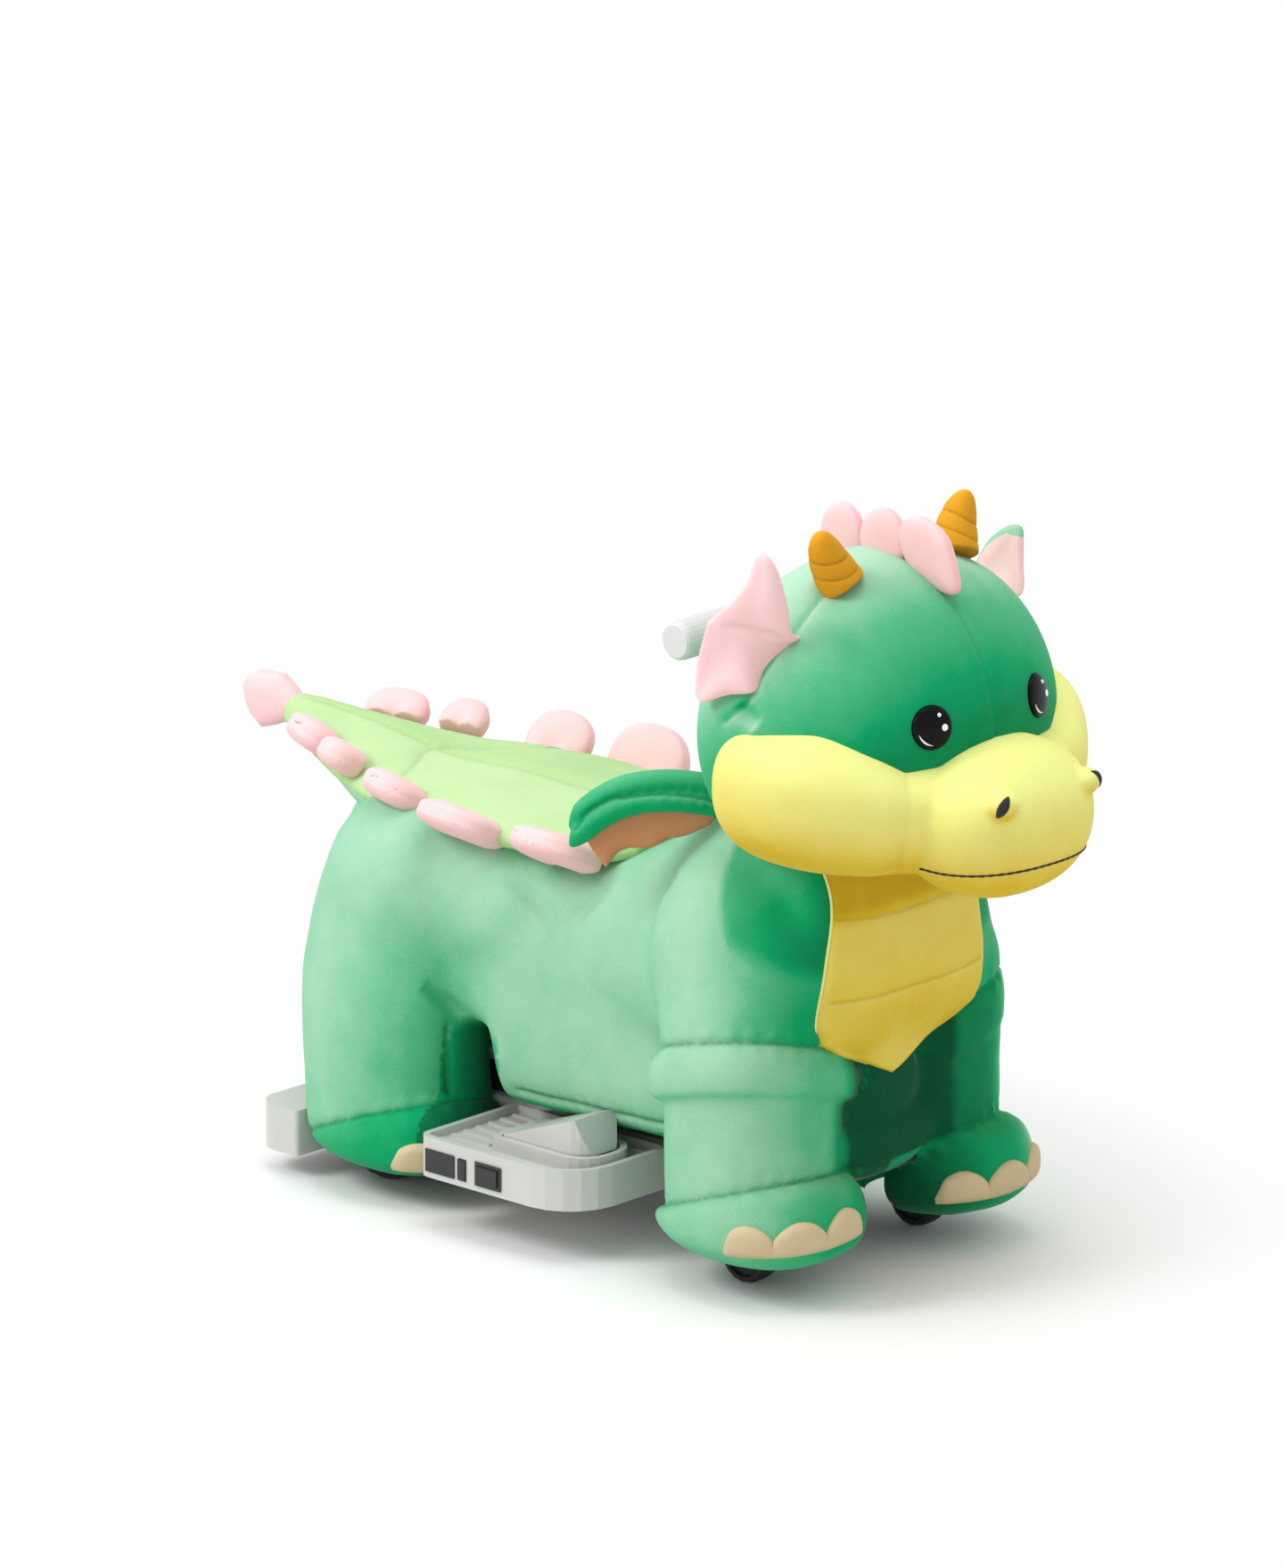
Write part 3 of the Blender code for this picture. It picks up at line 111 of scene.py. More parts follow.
# Legs: stations are (level, centre x, centre |y|, half length, half width)
FRONT_LEG_STATIONS = (
    (0.029, 0.226, 0.107, 0.05, 0.045),
    (0.031, 0.226, 0.107, 0.062, 0.053),
    (0.037, 0.226, 0.107, 0.08, 0.065),
    (0.048, 0.226, 0.107, 0.093, 0.076),
    (0.06, 0.226, 0.107, 0.097, 0.08),
    (0.07, 0.224, 0.107, 0.095, 0.0795),
    (0.078, 0.219, 0.106, 0.088, 0.078),
    (0.0835, 0.213, 0.103, 0.0765, 0.0745),
    (0.09, 0.212, 0.102, 0.075, 0.0735),
    (0.12, 0.212, 0.102, 0.0745, 0.073),
    (0.155, 0.212, 0.102, 0.075, 0.0735),
)
# The slack roll over a front leg: (level, how far it swells)
FRONT_ROLL = (
    (0.16, 0.001), (0.1622, 0.009), (0.168, 0.0125), (0.18, 0.0135), (0.192, 0.011), (0.202, 0.004),
)
FRONT_LEG_TOP = (
    (0.209, 0.211, 0.101, 0.0765, 0.074),
    (0.23, 0.209, 0.1, 0.078, 0.075),
    (0.27, 0.204, 0.094, 0.076, 0.07),
    (0.305, 0.196, 0.086, 0.066, 0.058),
    (0.335, 0.188, 0.078, 0.036, 0.034),
)
REAR_LEG_STATIONS = (
    (0.024, -0.189, 0.107, 0.056, 0.048),
    (0.026, -0.189, 0.107, 0.067, 0.058),
    (0.031, -0.189, 0.107, 0.079, 0.069),
    (0.04, -0.19, 0.107, 0.0885, 0.078),
    (0.049, -0.191, 0.107, 0.091, 0.0825),
    (0.055, -0.194, 0.107, 0.089, 0.082),
    (0.062, -0.2, 0.107, 0.0835, 0.079),
    (0.07, -0.203, 0.107, 0.083, 0.0785),
    (0.12, -0.204, 0.107, 0.0835, 0.0785),
    (0.18, -0.206, 0.104, 0.086, 0.0785),
    (0.23, -0.209, 0.099, 0.086, 0.075),
    (0.275, -0.21, 0.092, 0.079, 0.065),
    (0.315, -0.208, 0.082, 0.056, 0.048),
    (0.335, -0.208, 0.075, 0.028, 0.03),
)
LEG_SQUARENESS = 2.25
# How a ring of a leg leans: (level, rise per metre forward, rise per metre outward)
FRONT_LEAN = (
    (0.0135, 0.0, 0.0), (0.056, 0.0, 0.0), (0.0835, 0.34, 0.08), (0.12, 0.24, 0.14),
    (0.16, 0.24, 0.26), (0.197, 0.27, 0.33), (0.27, 0.1, 0.15), (0.335, 0.0, 0.0),
)
REAR_LEAN = (
    (0.0135, 0.0, 0.0), (0.04, 0.0, 0.0), (0.06, 0.39, 0.18), (0.1, 0.2, 0.1), (0.18, 0.0, 0.0),
    (0.335, 0.0, 0.0),
)
# Sewn rings round the legs, as stations
FRONT_SEAM = (0.0835, 0.213, 0.103, 0.0765, 0.0745)
REAR_SEAM = (0.06, -0.197, 0.107, 0.0805, 0.079)
ROLL_SEAM = (0.206, 0.211, 0.1015, 0.078, 0.076)

# Head
DOME_CENTRE = Vector((0.26, 0.0, 0.496))
DOME_FRONT, DOME_BACK = 0.141, 0.097
DOME_HALF_Y, DOME_HALF_Z = 0.171, 0.15
DOME_SQUARENESS = 3.2
DOME_CHIN_RISE = 0.17
CHEEK_CENTRE = Vector((0.285, 0.0, 0.447))
CHEEK_FRONT, CHEEK_BACK, CHEEK_HALF_Y, CHEEK_HALF_Z = 0.136, 0.12, 0.194, 0.074
SNOUT_CENTRE = Vector((0.398, 0.0, 0.434))
SNOUT_RADII = Vector((0.074, 0.092, 0.069))
NOSTRIL = Vector((0.454, 0.053, 0.464))
EYE_Y, EYE_Z, EYE_R = 0.068, 0.523, 0.0195
# Round glints in an eye: name, across, up, radius
GLINTS = (("high", 0.006, 0.0105, 0.0021), ("low", 0.0103, -0.0008, 0.0036))
HORN_BASE = Vector((0.2845, 0.0735, 0.636))
HORN_TIP = Vector((0.282, 0.094, 0.68))
HORN_R = 0.0205
# The horn's radius as a share of HORN_R, at shares of its length
HORN_PROFILE = (
    (-0.16, 1.0), (0.0, 1.0), (0.18, 0.96), (0.36, 0.88), (0.54, 0.78), (0.7, 0.66), (0.84, 0.5),
    (0.93, 0.35), (0.98, 0.2), (1.0, 0.06),
)
DOME_SEAM = ((0.3, 0, 0.66), (0.36, 0, 0.62), (0.4, 0, 0.55), (0.41, 0, 0.49), (0.39, 0, 0.44))
# Given for the left side: the fold under an ear, and the seam between cheek and snout
EAR_CREASE = ((0.256, 0.163, 0.54), (0.262, 0.163, 0.53), (0.275, 0.165, 0.522))
CHEEK_SEAM = (
    (0.36, 0.078, 0.5), (0.374, 0.094, 0.47), (0.376, 0.099, 0.434), (0.372, 0.094, 0.4),
    (0.355, 0.075, 0.372),
)
# Crest petals in the middle plane: (x, z, half length, half height, turn in degrees, point)
CREST_PETALS = (
    (0.222, 0.647, 0.0235, 0.03, 0.0, 0.0), (0.27, 0.652, 0.026, 0.029, -8.0, 0.1),
    (0.324, 0.648, 0.04, 0.026, -42.0, 0.45),
)
# Ears, given with y above 0: the line of both roots, then the right ear's outline and fold
EAR_ROOT_LINE = (
    (0.28, 0.08, 0.632), (0.28, 0.097, 0.618), (0.28, 0.109, 0.61), (0.279, 0.126, 0.596),
    (0.272, 0.144, 0.576), (0.262, 0.159, 0.549), (0.257, 0.163, 0.538), (0.24, 0.166, 0.52),
)
EAR_ARCS = (
    ((0.285, 0.118, 0.594), (0.2894, 0.137, 0.6005), (0.2933, 0.148, 0.6295), (0.2921, 0.158, 0.6596),
     (0.287, 0.163, 0.672), (0.281, 0.166, 0.6755), (0.2745, 0.167, 0.671), (0.2669, 0.168, 0.6517),
     (0.2527, 0.171, 0.6311), (0.2264, 0.176, 0.6066)),
    ((0.2264, 0.176, 0.6066), (0.2161, 0.176, 0.573), (0.2111, 0.174, 0.5455), (0.213, 0.173, 0.536),
     (0.22, 0.171, 0.5345), (0.241, 0.166, 0.5442), (0.2634, 0.16, 0.549), (0.264, 0.145, 0.552)),
    ((0.264, 0.145, 0.552), (0.272, 0.132, 0.574), (0.285, 0.118, 0.594)),
)
EAR_FOLD = ((0.2295, 0.176, 0.6056), (0.2519, 0.17, 0.6008), (0.2705, 0.16, 0.5906), (0.2796, 0.15, 0.5789))
# The left ear stands lower than the right one
LEFT_EAR_ARCS = (
    ((0.286, 0.122, 0.584), (0.2905, 0.14, 0.574), (0.2905, 0.152, 0.581), (0.2835, 0.159, 0.603),
     (0.28, 0.163, 0.622), (0.2765, 0.166, 0.632), (0.2715, 0.167, 0.6325), (0.26, 0.169, 0.628),
     (0.239, 0.171, 0.612), (0.221, 0.172, 0.584)),
    ((0.221, 0.172, 0.584), (0.2161, 0.174, 0.56), (0.2111, 0.174, 0.5355), (0.213, 0.173, 0.526),
     (0.22, 0.171, 0.5245), (0.241, 0.166, 0.5342), (0.2634, 0.16, 0.539), (0.264, 0.145, 0.542)),
    ((0.264, 0.145, 0.542), (0.272, 0.132, 0.564), (0.286, 0.122, 0.584)),
)
LEFT_EAR_FOLD = ((0.224, 0.172, 0.583), (0.244, 0.169, 0.58), (0.265, 0.16, 0.572), (0.278, 0.15, 0.562))
# How wide the left ear's green rim is
EAR_RIM = 0.0085
EARS = {"right": (EAR_ARCS, EAR_FOLD), "left": (LEFT_EAR_ARCS, LEFT_EAR_FOLD)}

# Saddle sections: (x, half width, top z, depth, ridge)
SADDLE_SECTIONS = (
    (-0.44, 0.012, 0.37, 0.012, 0.0), (-0.43, 0.022, 0.373, 0.018, 0.004),
    (-0.39, 0.04, 0.366, 0.02, 0.012), (-0.34, 0.062, 0.361, 0.024, 0.014),
    (-0.29, 0.083, 0.358, 0.028, 0.01), (-0.262, 0.094, 0.358, 0.03, 0.004),
    (-0.22, 0.106, 0.362, 0.034, 0.0), (-0.16, 0.114, 0.364, 0.036, 0.0),
    (-0.1, 0.117, 0.363, 0.036, 0.0), (-0.02, 0.116, 0.364, 0.036, 0.0),
    (0.03, 0.106, 0.366, 0.034, 0.0), (0.054, 0.08, 0.364, 0.026, 0.0),
)
SADDLE_SEAMS = (
    ((0.02, 0, 0.375), (-0.1, 0, 0.37), (-0.2, 0, 0.37), (-0.262, 0, 0.38), (-0.34, 0, 0.39),
     (-0.42, 0, 0.39)),
    ((-0.235, -0.1, 0.372), (-0.25, -0.05, 0.375), (-0.262, 0.0, 0.38), (-0.225, 0.05, 0.375),
     (-0.19, 0.105, 0.37)),
)
# Tail: stations as the trunk's, and the spade tip's outline in the middle plane
TAIL_STATIONS = (
    (-0.24, 0.098, 0.296, 0.352),
    (-0.285, 0.084, 0.31, 0.356),
    (-0.33, 0.064, 0.323, 0.361),
    (-0.375, 0.044, 0.335, 0.364),
    (-0.41, 0.028, 0.345, 0.364),
    (-0.428, 0.016, 0.35, 0.363),
)
SPADE_ARCS = (
    ((-0.4986, 0, 0.3749), (-0.484, 0, 0.388), (-0.4517, 0, 0.3908)),
    ((-0.4517, 0, 0.3908), (-0.437, 0, 0.38), (-0.42, 0, 0.364)),
    ((-0.42, 0, 0.364), (-0.452, 0, 0.346), (-0.4755, 0, 0.3373)),
    ((-0.4755, 0, 0.3373), (-0.492, 0, 0.352), (-0.4986, 0, 0.3749)),
)
# Scallops: (x, |y|, z, half length, height); how far the right and the left one lean outward, in degrees
SCALLOPS = (
    (-0.006, 0.117, 0.345, 0.043, 0.038, 62, 28), (-0.118, 0.117, 0.345, 0.042, 0.04, 62, 24),
    (-0.212, 0.104, 0.353, 0.031, 0.03, 60, 45), (-0.303, 0.077, 0.36, 0.0215, 0.024, 60, 66),
    (-0.362, 0.053, 0.363, 0.029, 0.024, 58, 66),
)
# Wings, given for the left side
WING_ROLL_R = 0.0125
# A wing's roll is two thinner ones, laid above and below its spine
WING_ROLL_SHARE, WING_ROLL_SHIFTS = 0.86, ((0, 0, 0.006), (0.003, 0.003, -0.009))
WING_SPINE = (
    (0.176, 0.07, 0.412), (0.154, 0.098, 0.425), (0.128, 0.124, 0.429), (0.101, 0.147, 0.423),
    (0.079, 0.164, 0.406), (0.064, 0.174, 0.385),
)
WING_WEB_ARCS = (
    ((0.164, 0.088, 0.424), (0.128, 0.124, 0.431), (0.101, 0.147, 0.424), (0.07, 0.169, 0.394)),
    ((0.07, 0.169, 0.394), (0.08, 0.165, 0.376), (0.0926, 0.159, 0.3578)),
    ((0.0926, 0.159, 0.3578), (0.101, 0.154, 0.372), (0.11, 0.149, 0.377)),
    ((0.11, 0.149, 0.377), (0.126, 0.138, 0.378), (0.136, 0.13, 0.386)),
    ((0.136, 0.13, 0.386), (0.148, 0.118, 0.389), (0.16, 0.1, 0.398)),
    ((0.16, 0.1, 0.398), (0.165, 0.09, 0.412), (0.164, 0.088, 0.424)),
)

# Bib: rays come in to this middle, fanned from its top down to its point
BIB_MIDDLE = Vector((0.15, 0, 0.26))
BIB_HALF_Y = 0.106
BIB_CORNER_Z, BIB_POINT_Z = 0.226, 0.178
BIB_TOP_TAPER = 0.14
BIB_TOP_TURN, BIB_ROWS, BIB_COLUMNS = math.radians(60), 96, 64
# How deep its rim is sunk, how far its middle stands above the rim, and how far out its rays start
BIB_SUNK, BIB_SWELL, BIB_RAY = -0.002, 0.0068, 0.3
CLAWS_TO_A_FOOT = 3
# Claws: foot's middle x and |y|, inner and outer end in degrees, lowest and highest z, thickness,
# and how much higher the inner and the outer end lie
CLAW_SPANS = {
    "front_right": (0.226, 0.107, -18.0, 70.0, 0.0495, 0.0765, 0.004, 0.01, 0.0),
    "front_left": (0.226, 0.107, -43.0, 42.0, 0.048, 0.074, 0.004, 0.002, 0.01),
    "rear_right": (-0.189, 0.107, -42.0, 60.0, 0.036, 0.062, 0.0038, 0.0, 0.0),
    "rear_left": (-0.189, 0.107, -42.0, 60.0, 0.036, 0.062, 0.0038, 0.0, 0.0),
}


def sided(point, side):
    return Vector((point[0], side * point[1], point[2]))


def on_side(points, side):
    return [sided(p, side) for p in points]


def ease(low, high, values):
    """0 below low, 1 above high, smooth between."""
    t = np.clip((np.asarray(values, float) - low) / (high - low), 0, 1)
    return t * t * (3 - 2 * t)


# Forms as (points, faces)

def between(stations, steps):
    """Catmull-Rom rows between the stations, steps to each gap."""
    rows = np.array(stations, float)
    ends = np.vstack([2 * rows[0] - rows[1], rows, 2 * rows[-1] - rows[-2]])
    made = []
    for i in range(1, len(ends) - 2):
        a, b, c, d = ends[i - 1:i + 3]
        for t in np.arange(steps) / steps:
            made.append(0.5 * (2 * b + (c - a) * t + (2 * a - 5 * b + 4 * c - d) * t * t
                               + (3 * b - a - 3 * c + d) * t ** 3))
    return np.array(made + [rows[-1]])


def route(points, step=LINE_STEP):
    """A smooth line through the points, sampled at an even step."""
    points = np.array([tuple(p) for p in points], float)
    fine = between(points, 24) if len(points) > 2 else points
    gaps = np.linalg.norm(np.diff(fine, axis=0), axis=1)
    along = np.concatenate([[0], np.cumsum(gaps)])
    places = np.linspace(0, along[-1], max(int(along[-1] / step), 2))
    return np.stack([np.interp(places, along, fine[:, k]) for k in range(3)], axis=1)


def superellipse(angles, power):
    c, s = np.cos(angles), np.sin(angles)
    return np.sign(c) * np.abs(c) ** (2 / power), np.sign(s) * np.abs(s) ** (2 / power)


def skin(rings):
    """Closed form through rings of equal count, its ends capped."""
    count = len(rings[0])
    faces = [(r + i, r + (i + 1) % count, r + count + (i + 1) % count, r + count + i)
             for r in range(0, (len(rings) - 1) * count, count) for i in range(count)]
    faces += [tuple(reversed(range(count))), tuple(range((len(rings) - 1) * count, len(rings) * count))]
    return np.vstack(rings), faces


def angles_round(count):
    return 2 * np.pi * (np.arange(count) + 0.5) / count


def length_form(stations, power, low_power=None, count=72, steps=5):
    """A form along X whose rings may be squarer below than above."""
    rings = []
    angles = angles_round(count)
    for x, half, low, high in between(stations, steps):
        c, s = superellipse(angles, power)
        if low_power:
            cl, sl = superellipse(angles, low_power)
            c, s = np.where(s < 0, cl, c), np.where(s < 0, sl, s)
        rings.append(np.stack([np.full(count, x), half * c, (low + high) / 2 + (high - low) / 2 * s], axis=1))
    return skin(rings)


def lean_at(leans, level):
    levels, forward, outward = zip(*leans)
    return np.interp(level, levels, forward), np.interp(level, levels, outward)


def leg_ring(station, leans, side, count=64):
    """One ring of a leg, leaning as the sewn panels do."""
    level, cx, cy, a, b = station
    c, s = superellipse(angles_round(count), LEG_SQUARENESS)
    forward, outward = lean_at(leans, level)
    dx, dy = a * c, b * s
    return np.stack([cx + dx, side * (cy + dy), level + forward * dx + outward * dy], axis=1)


def leg_form(stations, leans, side):
    return skin([leg_ring(row, leans, side) for row in between(stations, 4)])


def ball_form(centre, radii, count=48, rings=28, power=2.0, upright=2.0):
    c, s = superellipse(angles_round(count), power)
    made = []
    for lat in np.linspace(-np.pi / 2, np.pi / 2, rings + 2)[1:-1]:
        out, up = superellipse(np.array([lat]), upright)
        made.append(np.stack([
            centre[0] + radii[0] * out * c, centre[1] + radii[1] * out * s,
            np.full(count, centre[2] + radii[2] * up[0])], axis=1))
    return skin(made)


def head_ball(centre, front, back, half_y, half_z, back_power, upright, count=96, rings=60):
    """A ball with its own depths before and behind, squarer behind."""
    angles = angles_round(count)
    c, s = np.cos(angles), np.sin(angles)
    back_c, back_s = superellipse(angles, back_power)
    x = np.where(c < 0, back * back_c, front * c)
    y = np.where(c < 0, half_y * back_s, half_y * s)
    made = []
    for lat in np.linspace(-np.pi / 2, np.pi / 2, rings + 2)[1:-1]:
        out, up = superellipse(np.array([lat]), upright)
        level = np.full(count, centre[2] + half_z * up[0])
        made.append(np.stack([centre[0] + x * out, centre[1] + y * out, level], axis=1))
    return skin(made)


def tube_form(points, radii, count):
    """A round tube along points, with a radius for each."""
    points = np.array([tuple(p) for p in points], float)
    along = np.gradient(points, axis=0)
    along /= np.linalg.norm(along, axis=1)[:, None]
    side = np.cross(along, (0, 0, 1.0))
    weak = np.linalg.norm(side, axis=1) < 1e-3
    side[weak] = (1.0, 0, 0)
    side /= np.linalg.norm(side, axis=1)[:, None]
    up = np.cross(side, along)
    angles = angles_round(count)
    return skin([p + r * (np.cos(angles)[:, None] * s + np.sin(angles)[:, None] * u)
                 for p, s, u, r in zip(points, side, up, radii)])


# Meshes

def mesh_from(name, form):
    points, faces = form
    mesh = bpy.data.meshes.new(name)
    mesh.from_pydata([tuple(p) for p in points], [], faces)
    bm = bmesh.new()
    bm.from_mesh(mesh)
    bmesh.ops.recalc_face_normals(bm, faces=bm.faces)
    bm.to_mesh(mesh)
    bm.free()
    return mesh


def joined(forms):
    points, faces, start = [], [], 0
    for p, f in forms:
        points.append(np.asarray(p))
        faces += [tuple(i + start for i in face) for face in f]
        start += len(p)
    return np.vstack(points), faces


def link(name, data):
    made = bpy.data.objects.new(name, data)
    bpy.context.scene.collection.objects.link(made)
    return made


def applied(made, *modifiers):
    """The object with these modifiers made real. A modifier is (kind, settings)."""
    for kind, settings in modifiers:
        change = made.modifiers.new(kind, kind)
        for key, value in settings.items():
            setattr(change, key, value)
    bpy.context.view_layer.update()
    graph = bpy.context.evaluated_depsgraph_get()
    mesh = bpy.data.meshes.new_from_object(made.evaluated_get(graph))
    made.modifiers.clear()
    old = made.data
    made.data = mesh
    bpy.data.meshes.remove(old)
    return made


def piece(name, form):
    return link(name, mesh_from(name, form))


def sheet_of(name, rows, middle):
    """An open sheet through rows of points, its front turned away from the middle."""
    count = len(rows[0])
    made = piece(name, (np.vstack(rows), [
        (r + i, r + i + 1, r + count + i + 1, r + count + i)
        for r in range(0, (len(rows) - 1) * count, count) for i in range(count - 1)]))
    out = made.data.polygons[len(made.data.polygons) // 2]
    if (out.center - middle).dot(out.normal) < 0:
        made.data.flip_normals()
    return applied(made, ("SUBSURF", {"levels": 1, "render_levels": 1}))


def thickened(made, depth):
    return applied(made, ("SOLIDIFY", {"thickness": depth, "offset": -1.0}))


def remeshed(name, form, cell):
    return applied(piece(name, form), ("REMESH", {"mode": "VOXEL", "voxel_size": cell}))


def fused(name, forms, cell, rounds):
    """The forms as one skin of even cells, with their meeting lines eased."""
    made = remeshed(name, joined(forms), cell)
    relax(made, rounds)
    return made


def read(items, key, width=1, kind=float):
    """A value, or a row of values, from each item of a mesh."""
    values = np.empty(len(items) * width, kind)
    items.foreach_get(key, values)
    return values.reshape(-1, width) if width > 1 else values


def points_of(made):
    return read(made.data.vertices, "co", 3)


def normals_of(made):
    return read(made.data.vertices, "normal", 3)


def pushed(made, shift):
    """Move each point along its normal."""
    set_points(made, points_of(made) + normals_of(made) * shift[:, None])


def set_points(made, co):
    made.data.vertices.foreach_set("co", np.asarray(co, float).ravel())
    made.data.update()


def relax(made, rounds, keep=None):
    """Move each point towards the middle of its neighbours."""
    a, b = read(made.data.edges, "vertices", 2, int).T
    co = points_of(made)
    count = np.bincount(a, minlength=len(co)) + np.bincount(b, minlength=len(co))
    share = 0.5 if keep is None else (0.5 * (1 - keep))[:, None]
    for _ in range(rounds):
        total = np.stack([
            np.bincount(a, co[b, k], len(co)) + np.bincount(b, co[a, k], len(co)) for k in range(3)], axis=1)
        co = co + share * (total / count[:, None] - co)
    set_points(made, co)


def surface(made):
    return BVHTree.FromPolygons([v.co for v in made.data.vertices], [p.vertices for p in made.data.polygons])


def settled(made, routes):
    """Routes moved to the nearest places on a surface."""
    tree = surface(made)
    return [np.array([tuple(tree.find_nearest(Vector(p))[0]) for p in line]) for line in routes]


def reach(made, routes, limit):
    """For each point of a mesh, how far it is from the routes, and how far along them."""
    samples = [(p, s * LINE_STEP) for line in routes for s, p in enumerate(line)]
    tree = KDTree(len(samples))
    for i, (p, _) in enumerate(samples):
        tree.insert(p, i)
    tree.balance()
    away = np.full(len(made.data.vertices), 1.0)
    along = np.zeros(len(made.data.vertices))
    low = np.min([line.min(0) for line in routes], axis=0) - limit
    high = np.max([line.max(0) for line in routes], axis=0) + limit
    co = points_of(made)
    inside = np.all((co > low) & (co < high), axis=1)
    for i in np.nonzero(inside)[0]:
        _, k, d = tree.find(co[i])
        if d < limit:
            away[i], along[i] = d, samples[k][1]
    return away, along


def value_layer(made, name):
    return made.data.attributes.get(name) or made.data.attributes.new(name, "FLOAT", "POINT")


def read_layer(made, name):
    return read(value_layer(made, name).data, "value")


def write_layer(made, name, values):
    value_layer(made, name).data.foreach_set("value", np.asarray(values, float))


def seam(made, routes, width, depth, pucker, pitch, dip=0.0, dark=1.0):
    """Sew a line into a stuffed skin: a narrow groove in a soft dip, with puckers beside it."""
    routes = settled(made, routes)
    away, along = reach(made, routes, 8 * width)
    groove = np.exp(-(away / width) ** 2)
    soft = np.exp(-(away / (3.2 * width)) ** 2)
    puckers = np.sin(along * 2 * np.pi / pitch + 2.1 * np.sin(along * 37)) * (soft - groove)
    pushed(made, -depth * groove - dip * soft + pucker * puckers)
    sewn = dark * np.exp(-(away / (0.62 * width)) ** 2)
    write_layer(made, "seam", np.maximum(read_layer(made, "seam"), sewn))


def fold(made, routes, width, depth):
    """A soft crease, or a soft ridge where depth is below zero, that fades at its ends."""
    routes = settled(made, routes)
    for line in routes:
        away, along = reach(made, [line], 3 * width)
        end = LINE_STEP * (len(line) - 1)
        fade = np.clip(np.sin(np.pi * np.clip(along / max(end, 1e-6), 0, 1)), 0, 1) ** 0.7
        pushed(made, -depth * np.exp(-(away / width) ** 2) * fade)


def ripple(made, size, height, seed):
    """Uneven stuffing: slow noise along the normals."""
    offset = Vector((seed, 3.7 * seed, 0))
    pushed(made, np.array([noise.noise(Vector(p) / size + offset) for p in points_of(made)]) * height)


def drift(made, scale, seed):
    """Slow noise over a piece, for its tone."""
    return np.array([noise.noise(Vector(p) * scale + Vector((seed, 0, 0))) for p in points_of(made)])


def painted_light_tone(made, tone=0.5, side=0.3, up=0.18, front=0.3, seed=0.0):
    """Painted light and shade as a tone: pale where the skin faces to the side and up, deep where it faces
    forward, with slow random tone.
    """
    way = normals_of(made)
    values = tone + side * (np.abs(way[:, 1]) - 0.4) + up * way[:, 2]
    values += 0.1 * drift(made, 9, seed) - front * np.clip(way[:, 0], 0, 1)
    write_layer(made, "painted_light_tone", np.clip(values, 0, 1))


def facing_painted_light(made, base, up, back, side, seed):
    """Painted light and shade from which way the skin faces: up, back and to the side it is pale."""
    way = normals_of(made)
    values = base + up * way[:, 2] - back * way[:, 0] + side * np.abs(way[:, 1]) + 0.08 * drift(made, 9, seed)
    write_layer(made, "painted_light_tone", np.clip(values, -0.3, 1.0))


def finished(made, *finishes, slot=None, fill=None, replaces=()):
    """Dress a piece with its finishes, attach it to the root and hide the parts it replaces. The slot is not
    used.
    """
    faces = made.data.polygons
    chosen = read(faces, "material_index", kind=int) if len(finishes) > 1 else np.zeros(len(faces), int)
    made.data.materials.clear()
    for finish in finishes:
        made.data.materials.append(FINISH[finish])
    faces.foreach_set("material_index", chosen)
    made.data.shade_smooth()
    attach(made, "root")
    if replaces:
        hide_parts(*replaces)


# Materials

def node(tree, kind, **settings):
    made = tree.nodes.new(kind)
    for key, value in settings.items():
        if key in made.inputs.keys():
            made.inputs[key].default_value = value
        else:
            setattr(made, key, value)
    return made


def shader_tree(name):
    """A new material with its node tree, its shader and the place on the object."""
    made = bpy.data.materials.new(name)
    made.use_nodes = True
    tree = made.node_tree
    return made, tree, tree.nodes["Principled BSDF"], node(tree, "ShaderNodeTexCoord").outputs["Object"]


def set_values(shader, **values):
    """Constant values on a shader's sockets, each named by its words joined with _."""
    for key, value in values.items():
        shader.inputs[key.replace("_", " ")].default_value = value


def noise_node(tree, place, scale, detail, rough=0.5):
    made = node(tree, "ShaderNodeTexNoise", Scale=scale, Detail=detail, Roughness=rough)
    tree.links.new(place, made.inputs["Vector"])
    return made.outputs["Fac"]


def feed(tree, socket, value):
    """Set a socket to a constant, or wire another node's output to it."""
    if isinstance(value, (float, tuple)):
        socket.default_value = value
    else:
        tree.links.new(value, socket)


def arithmetic(tree, operation, a, b):
    made = node(tree, "ShaderNodeMath", operation=operation)
    feed(tree, made.inputs[0], a)
    feed(tree, made.inputs[1], b)
    return made.outputs[0]


def plus(tree, a, b):
    return arithmetic(tree, "ADD", a, b)


def times(tree, a, b):
    return arithmetic(tree, "MULTIPLY", a, b)


def bumped(tree, shader, height, strength, distance):
    bump = node(tree, "ShaderNodeBump", Strength=strength, Distance=distance)
    tree.links.new(height, bump.inputs["Height"])
    tree.links.new(bump.outputs["Normal"], shader.inputs["Normal"])


def mixed(tree, factor, a, b):
    made = node(tree, "ShaderNodeMix", data_type="RGBA")
    tree.links.new(factor, made.inputs["Factor"])
    for key, value in (("A", a), ("B", b)):
        feed(tree, made.inputs[key], (*value, 1.0) if isinstance(value, tuple) else value)
    return made.outputs["Result"]


def within(tree, value, low, high):
    """0 at low, 1 at high, held there outside them."""
    made = node(tree, "ShaderNodeMapRange")
    set_values(made, From_Min=low, From_Max=high)
    tree.links.new(value, made.inputs["Value"])
    return made.outputs["Result"]


